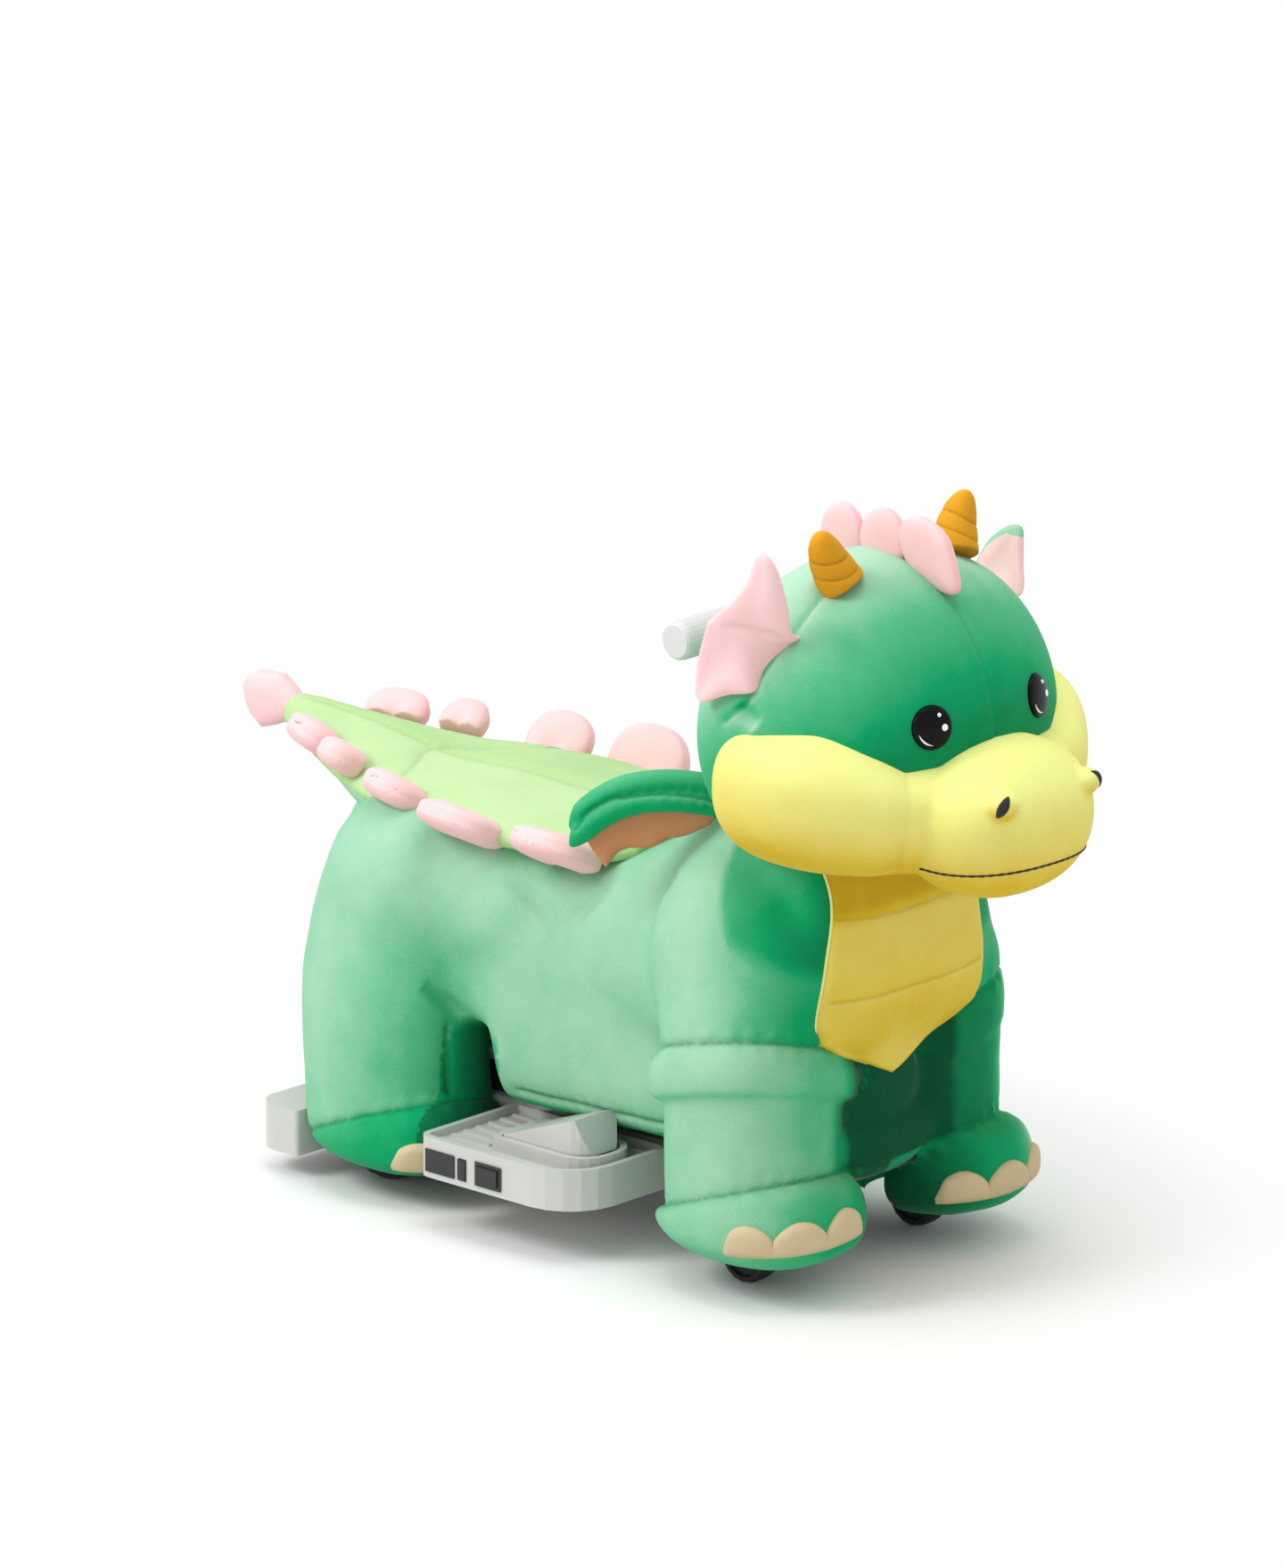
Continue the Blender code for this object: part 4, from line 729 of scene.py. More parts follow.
def plush(name, shaded_colour, lit_colour, sheen, tint, middle=None):
    """Short velvety pile: its colour runs from the shaded to the lit copy along the painted light tone, with
    brushed patches and fine fibres.
    """
    made, tree, shader, place = shader_tree(name)
    layer = node(tree, "ShaderNodeAttribute", attribute_name="painted_light_tone").outputs["Fac"]
    sewn = node(tree, "ShaderNodeAttribute", attribute_name="seam").outputs["Fac"]
    patches = arithmetic(tree, "SUBTRACT", noise_node(tree, place, 26.0, 4.0, 0.6), 0.5)
    fibres = arithmetic(tree, "SUBTRACT", noise_node(tree, place, 620.0, 3.0, 0.7), 0.5)
    tone = plus(tree, layer, times(tree, patches, 0.3))
    tone = plus(tree, tone, times(tree, fibres, 0.3))
    if middle:
        colour = mixed(tree, within(tree, tone, 0.0, MIDDLE_TONE), shaded_colour, middle)
        colour = mixed(tree, within(tree, tone, MIDDLE_TONE, 1.0), colour, lit_colour)
    else:
        colour = mixed(tree, within(tree, tone, 0.0, 1.0), shaded_colour, lit_colour)
    # Below zero the painted shade goes darker than the shaded colour; seams take a darker share of it
    darkest, in_seams = (tuple(share * c for c in shaded_colour) for share in (DARKEST_SHARE, SEWN_SHARE))
    colour = mixed(tree, within(tree, tone, 0.0, DARKEST_TONE), colour, darkest)
    colour = mixed(tree, times(tree, sewn, 0.62), colour, in_seams)
    tree.links.new(colour, shader.inputs["Base Color"])
    set_values(shader, Roughness=0.92, Specular_IOR_Level=0.15, Sheen_Weight=sheen, Sheen_Roughness=0.35,
               Sheen_Tint=(*tint, 1.0))
    bumped(tree, shader, plus(tree, fibres, times(tree, patches, 1.5)), 0.55, PILE)
    return made


def moulded(name, colour, roughness, metallic=0.0, grain=900.0, depth=0.00008, coat=0.0, shine=0.5):
    """Moulded or painted surface: fine grain, slight mottle in colour and gloss."""
    made, tree, shader, place = shader_tree(name)
    cloud = noise_node(tree, place, 18.0, 3.0)
    fine = noise_node(tree, place, grain, 2.0)
    low = tuple(c * (1 - MOTTLE) for c in colour)
    high = tuple(min(c * (1 + MOTTLE), 1.0) for c in colour)
    tree.links.new(mixed(tree, cloud, low, high), shader.inputs["Base Color"])
    tree.links.new(plus(tree, times(tree, cloud, 0.1), roughness - 0.05), shader.inputs["Roughness"])
    set_values(shader, Metallic=metallic, Coat_Weight=coat, Specular_IOR_Level=shine)
    bumped(tree, shader, fine, 0.5, depth)
    return made


# Shaded, middle and lit copies of the one green plush, mixed by the painted light tone
GREEN_SHADED, GREEN_MIDDLE, GREEN_LIT = (0.002, 0.35, 0.125), (0.085, 0.45, 0.22), (0.43, 0.68, 0.5)
# The tone of the middle green, the tone at which the painted shade is darkest, and the shaded colour's share
# there
MIDDLE_TONE, DARKEST_TONE, DARKEST_SHARE = 0.4, -0.8, 0.22
# The shaded colour's share in a seam
SEWN_SHARE = 0.38
# How much moulded colour varies to each side, and the height of the plush pile
MOTTLE, PILE = 0.06, 0.0006

# Each plush is given as a shaded and a lit copy of its colour, then its sheen and the sheen's tint
FINISH = {
    "mint_plush": plush("mint_plush", GREEN_SHADED, GREEN_LIT, 0.18, (0.7, 1.0, 0.82), middle=GREEN_MIDDLE),
    "green_plush": plush("green_plush", GREEN_SHADED, GREEN_LIT, 0.12, (0.55, 1.0, 0.75), middle=GREEN_MIDDLE),
    "yellow_plush": plush("yellow_plush", (0.66, 0.45, 0.018), (0.88, 0.9, 0.3), 0.15, (1.0, 1.0, 0.5)),
    "lime_plush": plush("lime_plush", (0.28, 0.52, 0.16), (0.62, 0.8, 0.46), 0.2, (0.9, 1.0, 0.8)),
    "pink_plush": plush("pink_plush", (0.84, 0.36, 0.38), (0.95, 0.68, 0.68), 0.2, (1.0, 0.9, 0.9)),
    "gold_plush": plush("gold_plush", (0.46, 0.18, 0.008), (0.84, 0.42, 0.022), 0.12, (1.0, 0.85, 0.3)),
    "cream_plush": plush("cream_plush", (0.44, 0.33, 0.17), (0.7, 0.58, 0.37), 0.15, (1.0, 0.95, 0.85)),
    "tan_plush": plush("tan_plush", (0.36, 0.12, 0.045), (0.6, 0.3, 0.14), 0.15, (1.0, 0.85, 0.75)),
    "thread": moulded("thread", (0.02, 0.02, 0.02), 0.8),
    "green_thread": moulded("green_thread", (0.01, 0.16, 0.08), 0.8),
    "yellow_thread": moulded("yellow_thread", (0.8, 0.78, 0.3), 0.8),
    "cream_thread": moulded("cream_thread", (0.8, 0.74, 0.58), 0.8),
    "white_plastic": moulded("white_plastic", (0.57, 0.57, 0.54), 0.38),
    "black_plastic": moulded("black_plastic", (0.015, 0.015, 0.017), 0.34),
    "dark_plastic": moulded("dark_plastic", (0.055, 0.055, 0.06), 0.5),
    "black_wheel": moulded("black_wheel", (0.014, 0.014, 0.015), 0.7, grain=500.0, depth=0.0002),
    "painted_steel": moulded("painted_steel", (0.035, 0.035, 0.038), 0.36, coat=0.3),
    "bright_steel": moulded("bright_steel", (0.6, 0.6, 0.62), 0.3, 1.0, grain=1500.0, depth=0.00003),
    "grip_grey": moulded("grip_grey", (0.66, 0.66, 0.65), 0.5),
    "eye_black": moulded("eye_black", (0.004, 0.004, 0.005), 0.3, depth=0.00002, shine=0.12),
    "eye_white": moulded("eye_white", (0.9, 0.92, 0.93), 0.25),
}


# The stuffed trunk and legs, one sewn cover

def front_leg_stations(side):
    """A front leg with the slack roll of cloth over it, fuller on the right one."""
    slack = 1.0 if side < 0 else 0.3
    roll = tuple((level, 0.2115, 0.1015, 0.075 + swell * slack, 0.0735 + swell * slack)
                 for level, swell in FRONT_ROLL)
    return FRONT_LEG_STATIONS + roll + FRONT_LEG_TOP


def ring_route(station, leans, side):
    ring = leg_ring(station, leans, side, 180)
    return np.vstack([ring, ring[:1]])


# Folds in the cover, given for the left side: (line, width, depth)
FOLDS = (
    (((-0.134, 0.151, 0.202), (-0.127, 0.133, 0.185), (-0.121, 0.115, 0.172)), 0.0065, 0.0065),
    (((-0.068, 0.127, 0.318), (-0.016, 0.127, 0.289), (0.004, 0.127, 0.262)), 0.0085, 0.005),
    (((0.047, 0.127, 0.333), (0.021, 0.127, 0.3), (0.008, 0.127, 0.278)), 0.0085, 0.005),
    (((0.118, 0.13, 0.372), (0.112, 0.132, 0.335), (0.12, 0.132, 0.3)), 0.012, 0.005),
)


def above(co, leans, station):
    """How far points lie above a leaning ring round a leg."""
    level, x, y = station[:3]
    rise, tilt = lean_at(leans, level)
    return co[:, 2] - level - rise * (co[:, 0] - x) - tilt * (np.abs(co[:, 1]) - y)


def cover_painted_light(made):
    """Painted light and shade on the cover's pile: pale where it faces outward and up, painted shade on the
    chest, the feet and inside the legs.
    """
    way, co = normals_of(made), points_of(made)
    x, y, z = co.T
    outward = way[:, 1] * np.sign(y)
    forward = np.clip(way[:, 0], 0, 1)
    # Painted light and shade by facing: pale outward and up, darker facing inward; slow noise varies the tone
    # at random
    tone = 0.42 + 0.34 * np.clip(outward, 0, 1) - 0.9 * np.clip(-outward - 0.12, 0, 1)
    tone += 0.16 * way[:, 2] + 0.12 * drift(made, 8, 2.0)

    # Painted shadow of the head on the chest above the roll and under the cheeks
    over_roll = above(co, FRONT_LEAN, ROLL_SEAM)
    tone -= CHEST_SHADE * ease(0.1, 0.2, x) * ease(-0.004, 0.004, over_roll) * forward
    under = np.interp(x, CHEEK_SHADE_X, CHEEK_SHADE_Z)
    tone -= CHEEK_SHADE * ease(0.16, 0.2, x) * ease(-0.01, 0.014, z - under)

    # Painted shade on the left front leg below the roll, more above its sole seam, and between the front legs
    before = 1 - ease(-0.004, 0.004, over_roll)
    over_sole = ease(-0.002, 0.002, above(co, FRONT_LEAN, FRONT_SEAM))
    left_leg = ease(0.1, 0.12, x) * ease(-0.06, -0.04, y) * before * (1 - ease(0.1, 0.8, outward))
    tone -= (LEFT_LEG_SHADE + SHIN_SHADE * over_sole) * left_leg
    tone -= BETWEEN_SHADE * (x > 0.1) * (1 - ease(0.045, 0.085, np.abs(y))) * before * over_sole
    # Painted shade on the front feet below their seams, most on the right foot's front faces; the left foot
    # is painted lighter
    tone -= (x > 0.08) * (1 - over_sole) * (0.1 + 0.35 * forward ** 2 * (y < 0) - 0.35 * (y > 0))
    # Painted shade on the rear feet below their seams
    rear_sole = 1 - ease(-0.002, 0.002, above(co, REAR_LEAN, REAR_SEAM))
    tone -= REAR_FOOT_SHADE * (x < -0.08) * rear_sole
    # Painted shade on the haunch's front and on its inner panel
    tone -= HAUNCH_SHADE * ease(-0.235, -0.15, x) * (1 - ease(-0.11, -0.06, x)) * (1 - ease(0.2, 0.29, z))
    tone -= PANEL_SHADE * (x > -0.126) * (x < -0.07) * (1 - ease(0.15, 0.172, z))
    # Painted shade on the belly below the hem
    tone -= BELLY_SHADE * (x > -0.08) * (x < 0.14) * (1 - ease(-0.002, 0.001, z - HEM_Z))
    return np.clip(tone, DARKEST_TONE, 1)


def make_cover():
    """The trunk and the four legs in one skin, with its sewn rings, hem and folds."""
    forms = [length_form(TRUNK_STATIONS, TRUNK_SQUARENESS, BELLY_SQUARENESS),
             ball_form(*APRON, power=3.2, upright=2.6), ball_form(*BREAST)]
    for _, side in SIDES:
        forms += [leg_form(front_leg_stations(side), FRONT_LEAN, side),
                  leg_form(REAR_LEG_STATIONS, REAR_LEAN, side)]
        forms += [ball_form((x, side * y, z), radii) for (x, y, z), radii in FILLERS]
    made = fused("stuffed_cover", forms, CELL, 6)
    co = points_of(made)
    roll = ease(0.11, 0.14, co[:, 0]) * ease(0.035, 0.06, np.abs(co[:, 1]))
    leg = 1 - ease(0.168 + 0.026 * roll, 0.225 + 0.015 * roll, co[:, 2])
    relax(made, 90, keep=leg)
    ripple(made, 0.1, 0.0035, 1.0)
    ripple(made, 0.035, 0.001, 5.0)

    seams = []
    for _, side in SIDES:
        seams += [ring_route(FRONT_SEAM, FRONT_LEAN, side), ring_route(REAR_SEAM, REAR_LEAN, side),
                  ring_route(ROLL_SEAM, FRONT_LEAN, side),
                  route([(x, side * 0.135, HEM_Z) for x in (-0.05, 0.0, 0.06, 0.11, 0.14)]),
                  route([(-0.125, side * 0.131, z) for z in (0.16, 0.145, 0.12, 0.1)])]
    seam(made, seams, 0.003, 0.003, 0.0007, 0.012, dip=0.0012)
    for _, side in SIDES:
        for line, width, depth in FOLDS:
            fold(made, [route(on_side(line, side))], width, depth)

    write_layer(made, "painted_light_tone", cover_painted_light(made))
    return made


def make_dome():
    points, faces = head_ball(
        DOME_CENTRE, DOME_FRONT, DOME_BACK, DOME_HALF_Y, DOME_HALF_Z, DOME_SQUARENESS, 2.0)
    drop = np.clip(DOME_CENTRE.z - points[:, 2], 0, None)
    points[:, 2] += DOME_CHIN_RISE * drop * ease(DOME_CENTRE.x - 0.04, DOME_CENTRE.x + 0.06, points[:, 0])
    made = fused("head_dome", [(points, faces)], CELL, 3)
    ripple(made, 0.12, 0.003, 9.0)
    lines = [route(DOME_SEAM)] + [route(on_side(EAR_ROOT_LINE, side)) for _, side in SIDES]
    seam(made, lines, 0.0022, 0.0012, 0.0, 0.013, dip=0.001, dark=0.5)
    for _, side in SIDES:
        fold(made, [route(on_side(EAR_CREASE, side))], 0.008, 0.005)
    # Painted light on the dome: pale on top, behind and at the sides, deep in front
    facing_painted_light(made, 0.017, 0.95, 0.489, 0.21, 4.0)
    return made


def cheek_band():
    """The cheeks: one pillow round the head, full at the sides, low in front, closed behind."""
    points, faces = head_ball(
        CHEEK_CENTRE, CHEEK_FRONT, CHEEK_BACK, CHEEK_HALF_Y, CHEEK_HALF_Z, 2.8, 2.8, 144, 60)
    turn = np.abs(np.arctan2(points[:, 1] / CHEEK_HALF_Y, (points[:, 0] - CHEEK_CENTRE.x) / CHEEK_FRONT))
    front = 1 - ease(0.45, 1.25, turn)
    behind = ease(1.75, 2.35, turn)
    level = (points[:, 2] - CHEEK_CENTRE.z) / CHEEK_HALF_Z
    points[:, 2] = CHEEK_CENTRE.z + 0.012 - 0.018 * front + level * (0.084 - 0.018 * front - 0.022 * behind)
    shrink = (1 - 0.16 * behind) * (1 - 0.13 * np.clip(-level, 0, 1) ** 1.6)
    points[:, 0] = CHEEK_CENTRE.x + (points[:, 0] - CHEEK_CENTRE.x) * shrink
    points[:, 1] *= shrink
    return points, faces


def make_muzzle():
    snout = ball_form(SNOUT_CENTRE, SNOUT_RADII, 72, 44, 2.2, 2.2)
    knobs = [ball_form(sided(NOSTRIL, side), (0.0135, 0.0145, 0.012), 24, 14) for _, side in SIDES]
    made = fused("muzzle_and_cheeks", [cheek_band(), snout, *knobs], 0.0025, 5)
    lines = [route(on_side(CHEEK_SEAM, side)) for _, side in SIDES]
    seam(made, lines, 0.0045, 0.0008, 0.0, 0.012, dip=0.003, dark=0.1)
    # Painted light: the muzzle pale on top and in front, darker underneath
    painted_light_tone(made, tone=0.5, side=0.1, up=0.7, front=-0.1, seed=7.0)
    return made


def outline_of(*arcs):
    """A closed outline from smooth arcs that meet at corners."""
    return np.vstack([route(arc, OUTLINE_STEP)[:-1] for arc in arcs])


def flat_axis(points, facing):
    """The middle of points that lie nearly flat, and the way square to them on the side given."""
    centre = points.mean(0)
    normal = np.linalg.svd(points - centre)[2][2]
    return centre, normal if normal @ np.array(facing) >= 0 else -normal


def stuffed_shape(name, outline, facing, thickness, rim, swell, cell, rounds, warp=False):
    """A flat stuffed piece from its outline: thick in the middle, rounded towards its rim."""
    outline = np.asarray(outline, float)
    centre, n = flat_axis(outline, facing)
    half = thickness * 0.5
    flat = outline - ((outline - centre) @ n)[:, None] * n
    count = len(flat)
    points = np.vstack([flat - n * half, flat + n * half])
    faces = [(i, (i + 1) % count, (i + 1) % count + count, i + count) for i in range(count)]
    faces += [tuple(reversed(range(count))), tuple(range(count, 2 * count))]
    made = remeshed(name, (points, faces), cell)
    relax(made, rounds)
    tree = KDTree(count * 2)
    middle = (flat + np.roll(flat, -1, 0)) / 2
    for i, p in enumerate(np.vstack([flat, middle])):
        tree.insert(p, i)
    tree.balance()
    co = points_of(made)
    height = (co - centre) @ n
    base = co - height[:, None] * n
    away = np.array([tree.find(Vector(p))[2] for p in base])
    full = max(away.max() * swell, 1e-6)
    t = np.clip(away / full, 0, 1)
    profile = rim + (1 - rim) * np.sqrt(1 - (1 - t) ** 2)
    lift = height * profile
    co = base + lift[:, None] * n
    if warp:
        off = (outline - centre) @ n
        near = 1 / (((base[:, None] - flat[None]) ** 2).sum(2) ** 2 + 1e-11)
        co = co + np.outer(near @ off / near.sum(1), n)
    set_points(made, co)
    return made


def face_axes(facing):
    """Unit ways out of a surface, across it and up it."""
    facing = Vector(facing).normalized()
    across = Vector((0, 0, 1)).cross(facing).normalized()
    return facing, across, facing.cross(across)


def laid(tree, centre, axes, a, b, height):
    """The point at a height over the surface that lies a across and b up from a centre."""
    facing, across, up = axes
    spot = Vector(centre) + across * a + up * b
    hit, way, _, _ = tree.ray_cast(spot + facing * 0.05, -facing, 0.12)
    if hit is None:
        hit, way, _, _ = tree.find_nearest(spot)
    return tuple(hit + way * height)


def patch(name, tree, centre, facing, outline, lift, base, rings=8):
    """A thin raised patch on a surface: its outline is (across, up), and its middle is lift high."""
    axes, count = face_axes(facing), len(outline)
    points, faces = [laid(tree, centre, axes, 0, 0, base + lift)], []
    for k in range(1, rings + 1):
        t = k / rings
        height = base + lift * math.sqrt(max(1 - t * t, 0)) - (0.0012 if k == rings else 0)
        points += [laid(tree, centre, axes, a * t, b * t, height) for a, b in outline]
    for i in range(count):
        faces.append((0, 1 + i, 1 + (i + 1) % count))
    for k in range(rings - 1):
        for i in range(count):
            j, inner, outer = (i + 1) % count, 1 + k * count, 1 + (k + 1) * count
            faces.append((inner + i, outer + i, outer + j, inner + j))
    faces.append(tuple(reversed(range(1 + (rings - 1) * count, 1 + rings * count))))
    return piece(name, (points, faces))


def circle(radius, count=40):
    angles = angles_round(count)
    return list(zip(radius * np.cos(angles), radius * np.sin(angles)))


def turned(a, b, turn):
    return a * math.cos(turn) - b * math.sin(turn), a * math.sin(turn) + b * math.cos(turn)


def leaf(half_long, half_wide, turn, count=32):
    """A pointed oval."""
    angles = angles_round(count)
    a = half_long * np.cos(angles)
    b = half_wide * np.sin(angles) * np.abs(np.sin(angles)) ** 0.5
    return list(zip(*turned(a, b, turn)))


def crescent(radius, width, start, end, count=14):
    """A thin band along an arc, thinner towards its ends."""
    angles = np.linspace(start, end, count)
    thick = width * np.sin(np.linspace(0.15, math.pi - 0.15, count))
    outer = [((radius + t / 2) * math.cos(a), (radius + t / 2) * math.sin(a)) for a, t in zip(angles, thick)]
    inner = [((radius - t / 2) * math.cos(a), (radius - t / 2) * math.sin(a)) for a, t in zip(angles, thick)]
    return outer + inner[::-1]


def dome_point(y, z):
    inside = 1 - (y / DOME_HALF_Y) ** 2 - ((z - DOME_CENTRE.z) / DOME_HALF_Z) ** 2
    return Vector((DOME_CENTRE.x + DOME_FRONT * math.sqrt(max(inside, 0)), y, z))


def dome_way(p):
    return Vector((
        (p.x - DOME_CENTRE.x) / DOME_FRONT ** 2, p.y / DOME_HALF_Y ** 2,
        (p.z - DOME_CENTRE.z) / DOME_HALF_Z ** 2)).normalized()


def make_eyes(tree):
    for name, side in SIDES:
        centre = dome_point(side * EYE_Y, EYE_Z)
        way = dome_way(centre)
        rim = patch(f"eye_rim_{name}", tree, centre, way, circle(EYE_R + 0.0012), 0.0012, 0.0004)
        painted_light_tone(rim, 0.4)
        finished(rim, "green_thread", slot="eye_black")
        eye = patch(f"eye_disc_{name}", tree, centre, way, circle(EYE_R, 56), 0.0034, 0.0012, 12)
        finished(eye, "eye_black", replaces=(f"eye_{name}",))
        top = surface(eye)
        _, across, up = face_axes(way)
        for label, over, higher, radius in GLINTS:
            glint = patch(f"eye_glint_{label}_{name}", top, centre + across * over + up * higher, way,
                          circle(radius), 0.0006, 0.0003, 4)
            finished(glint, "eye_white", slot="eye_black")
        arc = crescent(0.015, 0.0022, math.radians(197), math.radians(262))
        glint = band_patch(f"eye_glint_arc_{name}", top, centre, way, arc, 0.0007)
        finished(glint, "eye_white", slot="eye_black")


def band_patch(name, tree, centre, facing, outline, height):
    """A thin raised strip on a surface, from an outline whose two halves run side by side."""
    axes, half = face_axes(facing), len(outline) // 2
    profile = ((0.0, -0.0006), (0.25, height * 0.8), (0.5, height), (0.75, height * 0.8), (1.0, -0.0006))
    return piece(name, skin([
        np.array([laid(tree, centre, axes, a + (c - a) * t, b + (d - b) * t, rise) for t, rise in profile])
        for (a, b), (c, d) in zip(outline[:half], reversed(outline[half:]))]))


def make_mouth(tree):
    """The stitched line of the mouth."""
    line = []
    for turn in np.linspace(math.radians(-97), math.radians(97), 90):
        level = 0.4045 - 0.003 * math.sin(turn) ** 2
        start = Vector((SNOUT_CENTRE.x, 0, level))
        way = Vector((math.cos(turn), math.sin(turn), 0))
        hit, normal, _, _ = cast(tree, start, way, 0.25)
        if hit is not None:
            line.append(hit + normal * 0.0001)
    path = route(line, 0.0022)
    thick = 0.00105 + 0.00025 * np.sin(np.arange(len(path)) * 1.7)
    made = piece("mouth_stitch", tube_form(path, thick, 8))
    finished(made, "thread", slot="yellow_plush")


def make_nostrils(tree):
    for name, side in SIDES:
        way = Vector((0.72, side * 0.68, 0.12)).normalized()
        made = patch(f"nostril_mark_{name}", tree, sided(NOSTRIL, side) + way * 0.01, way,
                     leaf(0.0115, 0.005, math.radians(60 if side < 0 else 120)), 0.0008, 0.0005, 6)
        finished(made, "thread", slot="yellow_plush")


def make_ears():
    for name, side in SIDES:
        shape, crease = EARS[name]
        arcs = [on_side(arc, side) for arc in shape]
        facing = Vector((0.85, -side * 0.35, 0.2)).normalized()
        made = stuffed_shape(
            f"ear_web_{name}", outline_of(*arcs), facing, 0.013, 0.22, 0.55, 0.0018, 3, warp=True)
        fold(made, [route([sided(p, side) + facing * 0.012 for p in crease])], 0.005, 0.0035)
        painted_light_tone(made, tone=0.7, side=0.15, up=0.15, front=0.0, seed=11.0)
        if side > 0:
            away, _ = reach(made, [route(arcs[0][5:])], 0.01)
            for face in made.data.polygons:
                if min(away[i] for i in face.vertices) < EAR_RIM:
                    face.material_index = 1
        finished(made, "pink_plush", "green_plush", fill=0.6, replaces=(f"ear_{name}",))


def make_horns():
    for name, side in SIDES:
        base, tip = sided(HORN_BASE, side), sided(HORN_TIP, side)
        steps, sizes = np.array(HORN_PROFILE).T
        lean = [base + (tip - base) * s + Vector((-0.004 * s * (1 - s) * 4, 0, 0)) for s in steps]
        spine = route(lean, OUTLINE_STEP)
        shares = (steps - steps[0]) / (steps[-1] - steps[0])
        radii = np.interp(np.linspace(0, 1, len(spine)), shares, sizes) * HORN_R
        made = fused(f"horn_cone_{name}", [tube_form(spine, radii, 32)], 0.0014, 3)
        rings = []
        along = (tip - base).normalized()
        first = along.cross(Vector((0, 1, 0))).normalized()
        second = along.cross(first)
        for s in (0.2, 0.52):
            centre = base + (tip - base) * s
            ring = [centre + (first * math.cos(a) + second * math.sin(a)) * HORN_R
                    + along * 0.0025 * math.sin(a + 0.6) for a in np.linspace(0, 2 * math.pi, 60)]
            rings.append(np.array([tuple(p) for p in ring]))
        upright = route([base + (tip - base) * s + (first * 0.5 - second * side * 0.9).normalized() * HORN_R
                         for s in (-0.1, 0.3, 0.6, 0.9)])
        seam(made, rings, 0.0013, 0.0008, 0.0, 0.01, dip=0.0003, dark=1.0)
        seam(made, [upright], 0.0012, 0.0004, 0.0, 0.01, dark=0.5)
        painted_light_tone(made, 0.5, 0.1, 0.3, 0.1, 3.0)
        finished(made, "gold_plush", fill=0.9, replaces=(f"horn_{name}",))


def petal(centre, half_long, half_high, turn, point, count=44):
    """A rounded petal in the middle plane, turned by an angle, more pointed at its far end if asked."""
    angles = angles_round(count)
    a, b = half_long * np.cos(angles), half_high * np.sin(angles)
    b = b * (1 - point * np.clip(np.cos(angles), 0, 1))
    across, up = turned(a, b, turn)
    return np.stack([centre[0] + across, np.zeros(count), centre[1] + up], axis=1)


def make_crest():
    for i, (x, z, long_half, high_half, turn, point) in enumerate(CREST_PETALS):
        shape = petal((x, z), long_half, high_half, math.radians(turn), point)
        lobe = stuffed_shape(f"crest_petal_{i}", shape, (0, -1, 0), 0.017, 0.25, 0.75, 0.0016, 3)
        painted_light_tone(lobe, 0.55, 0.2, 0.3, 0.0, 20.0 + i)
        finished(lobe, "pink_plush", fill=0.7, replaces=("crest",))


def saddle_ring(x, half, top, depth, ridge, count=72):
    c, s = superellipse(angles_round(count), 2.5)
    y = half * c
    rise = np.where(s > 0, depth * 0.35 * s, depth * 0.65 * s)
    z = top - depth * 0.35 + rise + ridge * (1 - np.abs(c)) * (s > 0) - 0.01 * np.abs(c) ** 3
    return np.stack([np.full(count, x), y, z], axis=1)


def make_saddle():
    rings = [saddle_ring(*row) for row in between(SADDLE_SECTIONS, 6)]
    made = fused("saddle_cover", [skin(rings)], CELL, 4)
    seam(made, [route(line) for line in SADDLE_SEAMS], 0.003, 0.0022, 0.0006, 0.013, dip=0.0025, dark=0.45)
    ripple(made, 0.06, 0.0022, 13.0)
    painted_light_tone(made, 0.42, 0.0, 0.25, 0.0, 31.0)
    # Painted shade on the saddle's left half
    write_layer(made, "painted_light_tone", read_layer(made, "painted_light_tone") - 0.2 * ease(-0.002, 0.006, points_of(made)[:, 1]))
    return made


def make_tail():
    made = fused("tail_cover", [length_form(TAIL_STATIONS, 2.3)], CELL, 5)
    painted_light_tone(made, 0.6, 0.35, 0.2, 0.3, 33.0)
    tip = stuffed_shape("tail_spade", outline_of(*SPADE_ARCS), (0, -1, 0), 0.024, 0.25, 0.8, 0.0018, 8)
    painted_light_tone(tip, 0.6, 0.2, 0.2, 0.0, 35.0)
    finished(tip, "pink_plush", fill=0.8, replaces=("tail_tip",))
    return made


def make_scallops():
    spots = [Vector(row[:3]) for row in SCALLOPS]
    for name, side in SIDES:
        for i, (x, y, z, half, high, lean_right, lean_left) in enumerate(SCALLOPS):
            lean = math.radians(lean_right if side < 0 else lean_left)
            before, after = spots[max(i - 1, 0)], spots[min(i + 1, len(spots) - 1)]
            along = sided(before - after, side).normalized()
            up = Vector((0, side * math.sin(lean), math.cos(lean)))
            rise = (up - along * up.dot(along)).normalized()
            spot = sided((x, y, z), side)
            arc = [spot + along * half * math.copysign(abs(math.cos(t)) ** 0.85, math.cos(t))
                   + rise * high * math.copysign(abs(math.sin(t)) ** 0.9, math.sin(t))
                   for t in np.linspace(-0.5, math.pi + 0.5, 44)]
            lobe = stuffed_shape(f"scallop_lobe_{name}_{i}", [tuple(p) for p in arc], (0, side, 0.2),
                                 0.027, 0.3, 1.0, 0.0018, 6)
            off = sided((0, 0.02, 0.02), side)
            crease = [spot + along * half * t + rise * high * (0.38 + 0.1 * (1 - t * t)) + off
                      for t in (-0.7, -0.3, 0.1, 0.5)]
            fold(lobe, [route(crease)], 0.003, 0.0022)
            painted_light_tone(lobe, 0.62, 0.1, 0.25, 0.0, 40.0 + i)
            finished(lobe, "pink_plush", fill=0.75, replaces=(f"scallop_trim_{name}",))


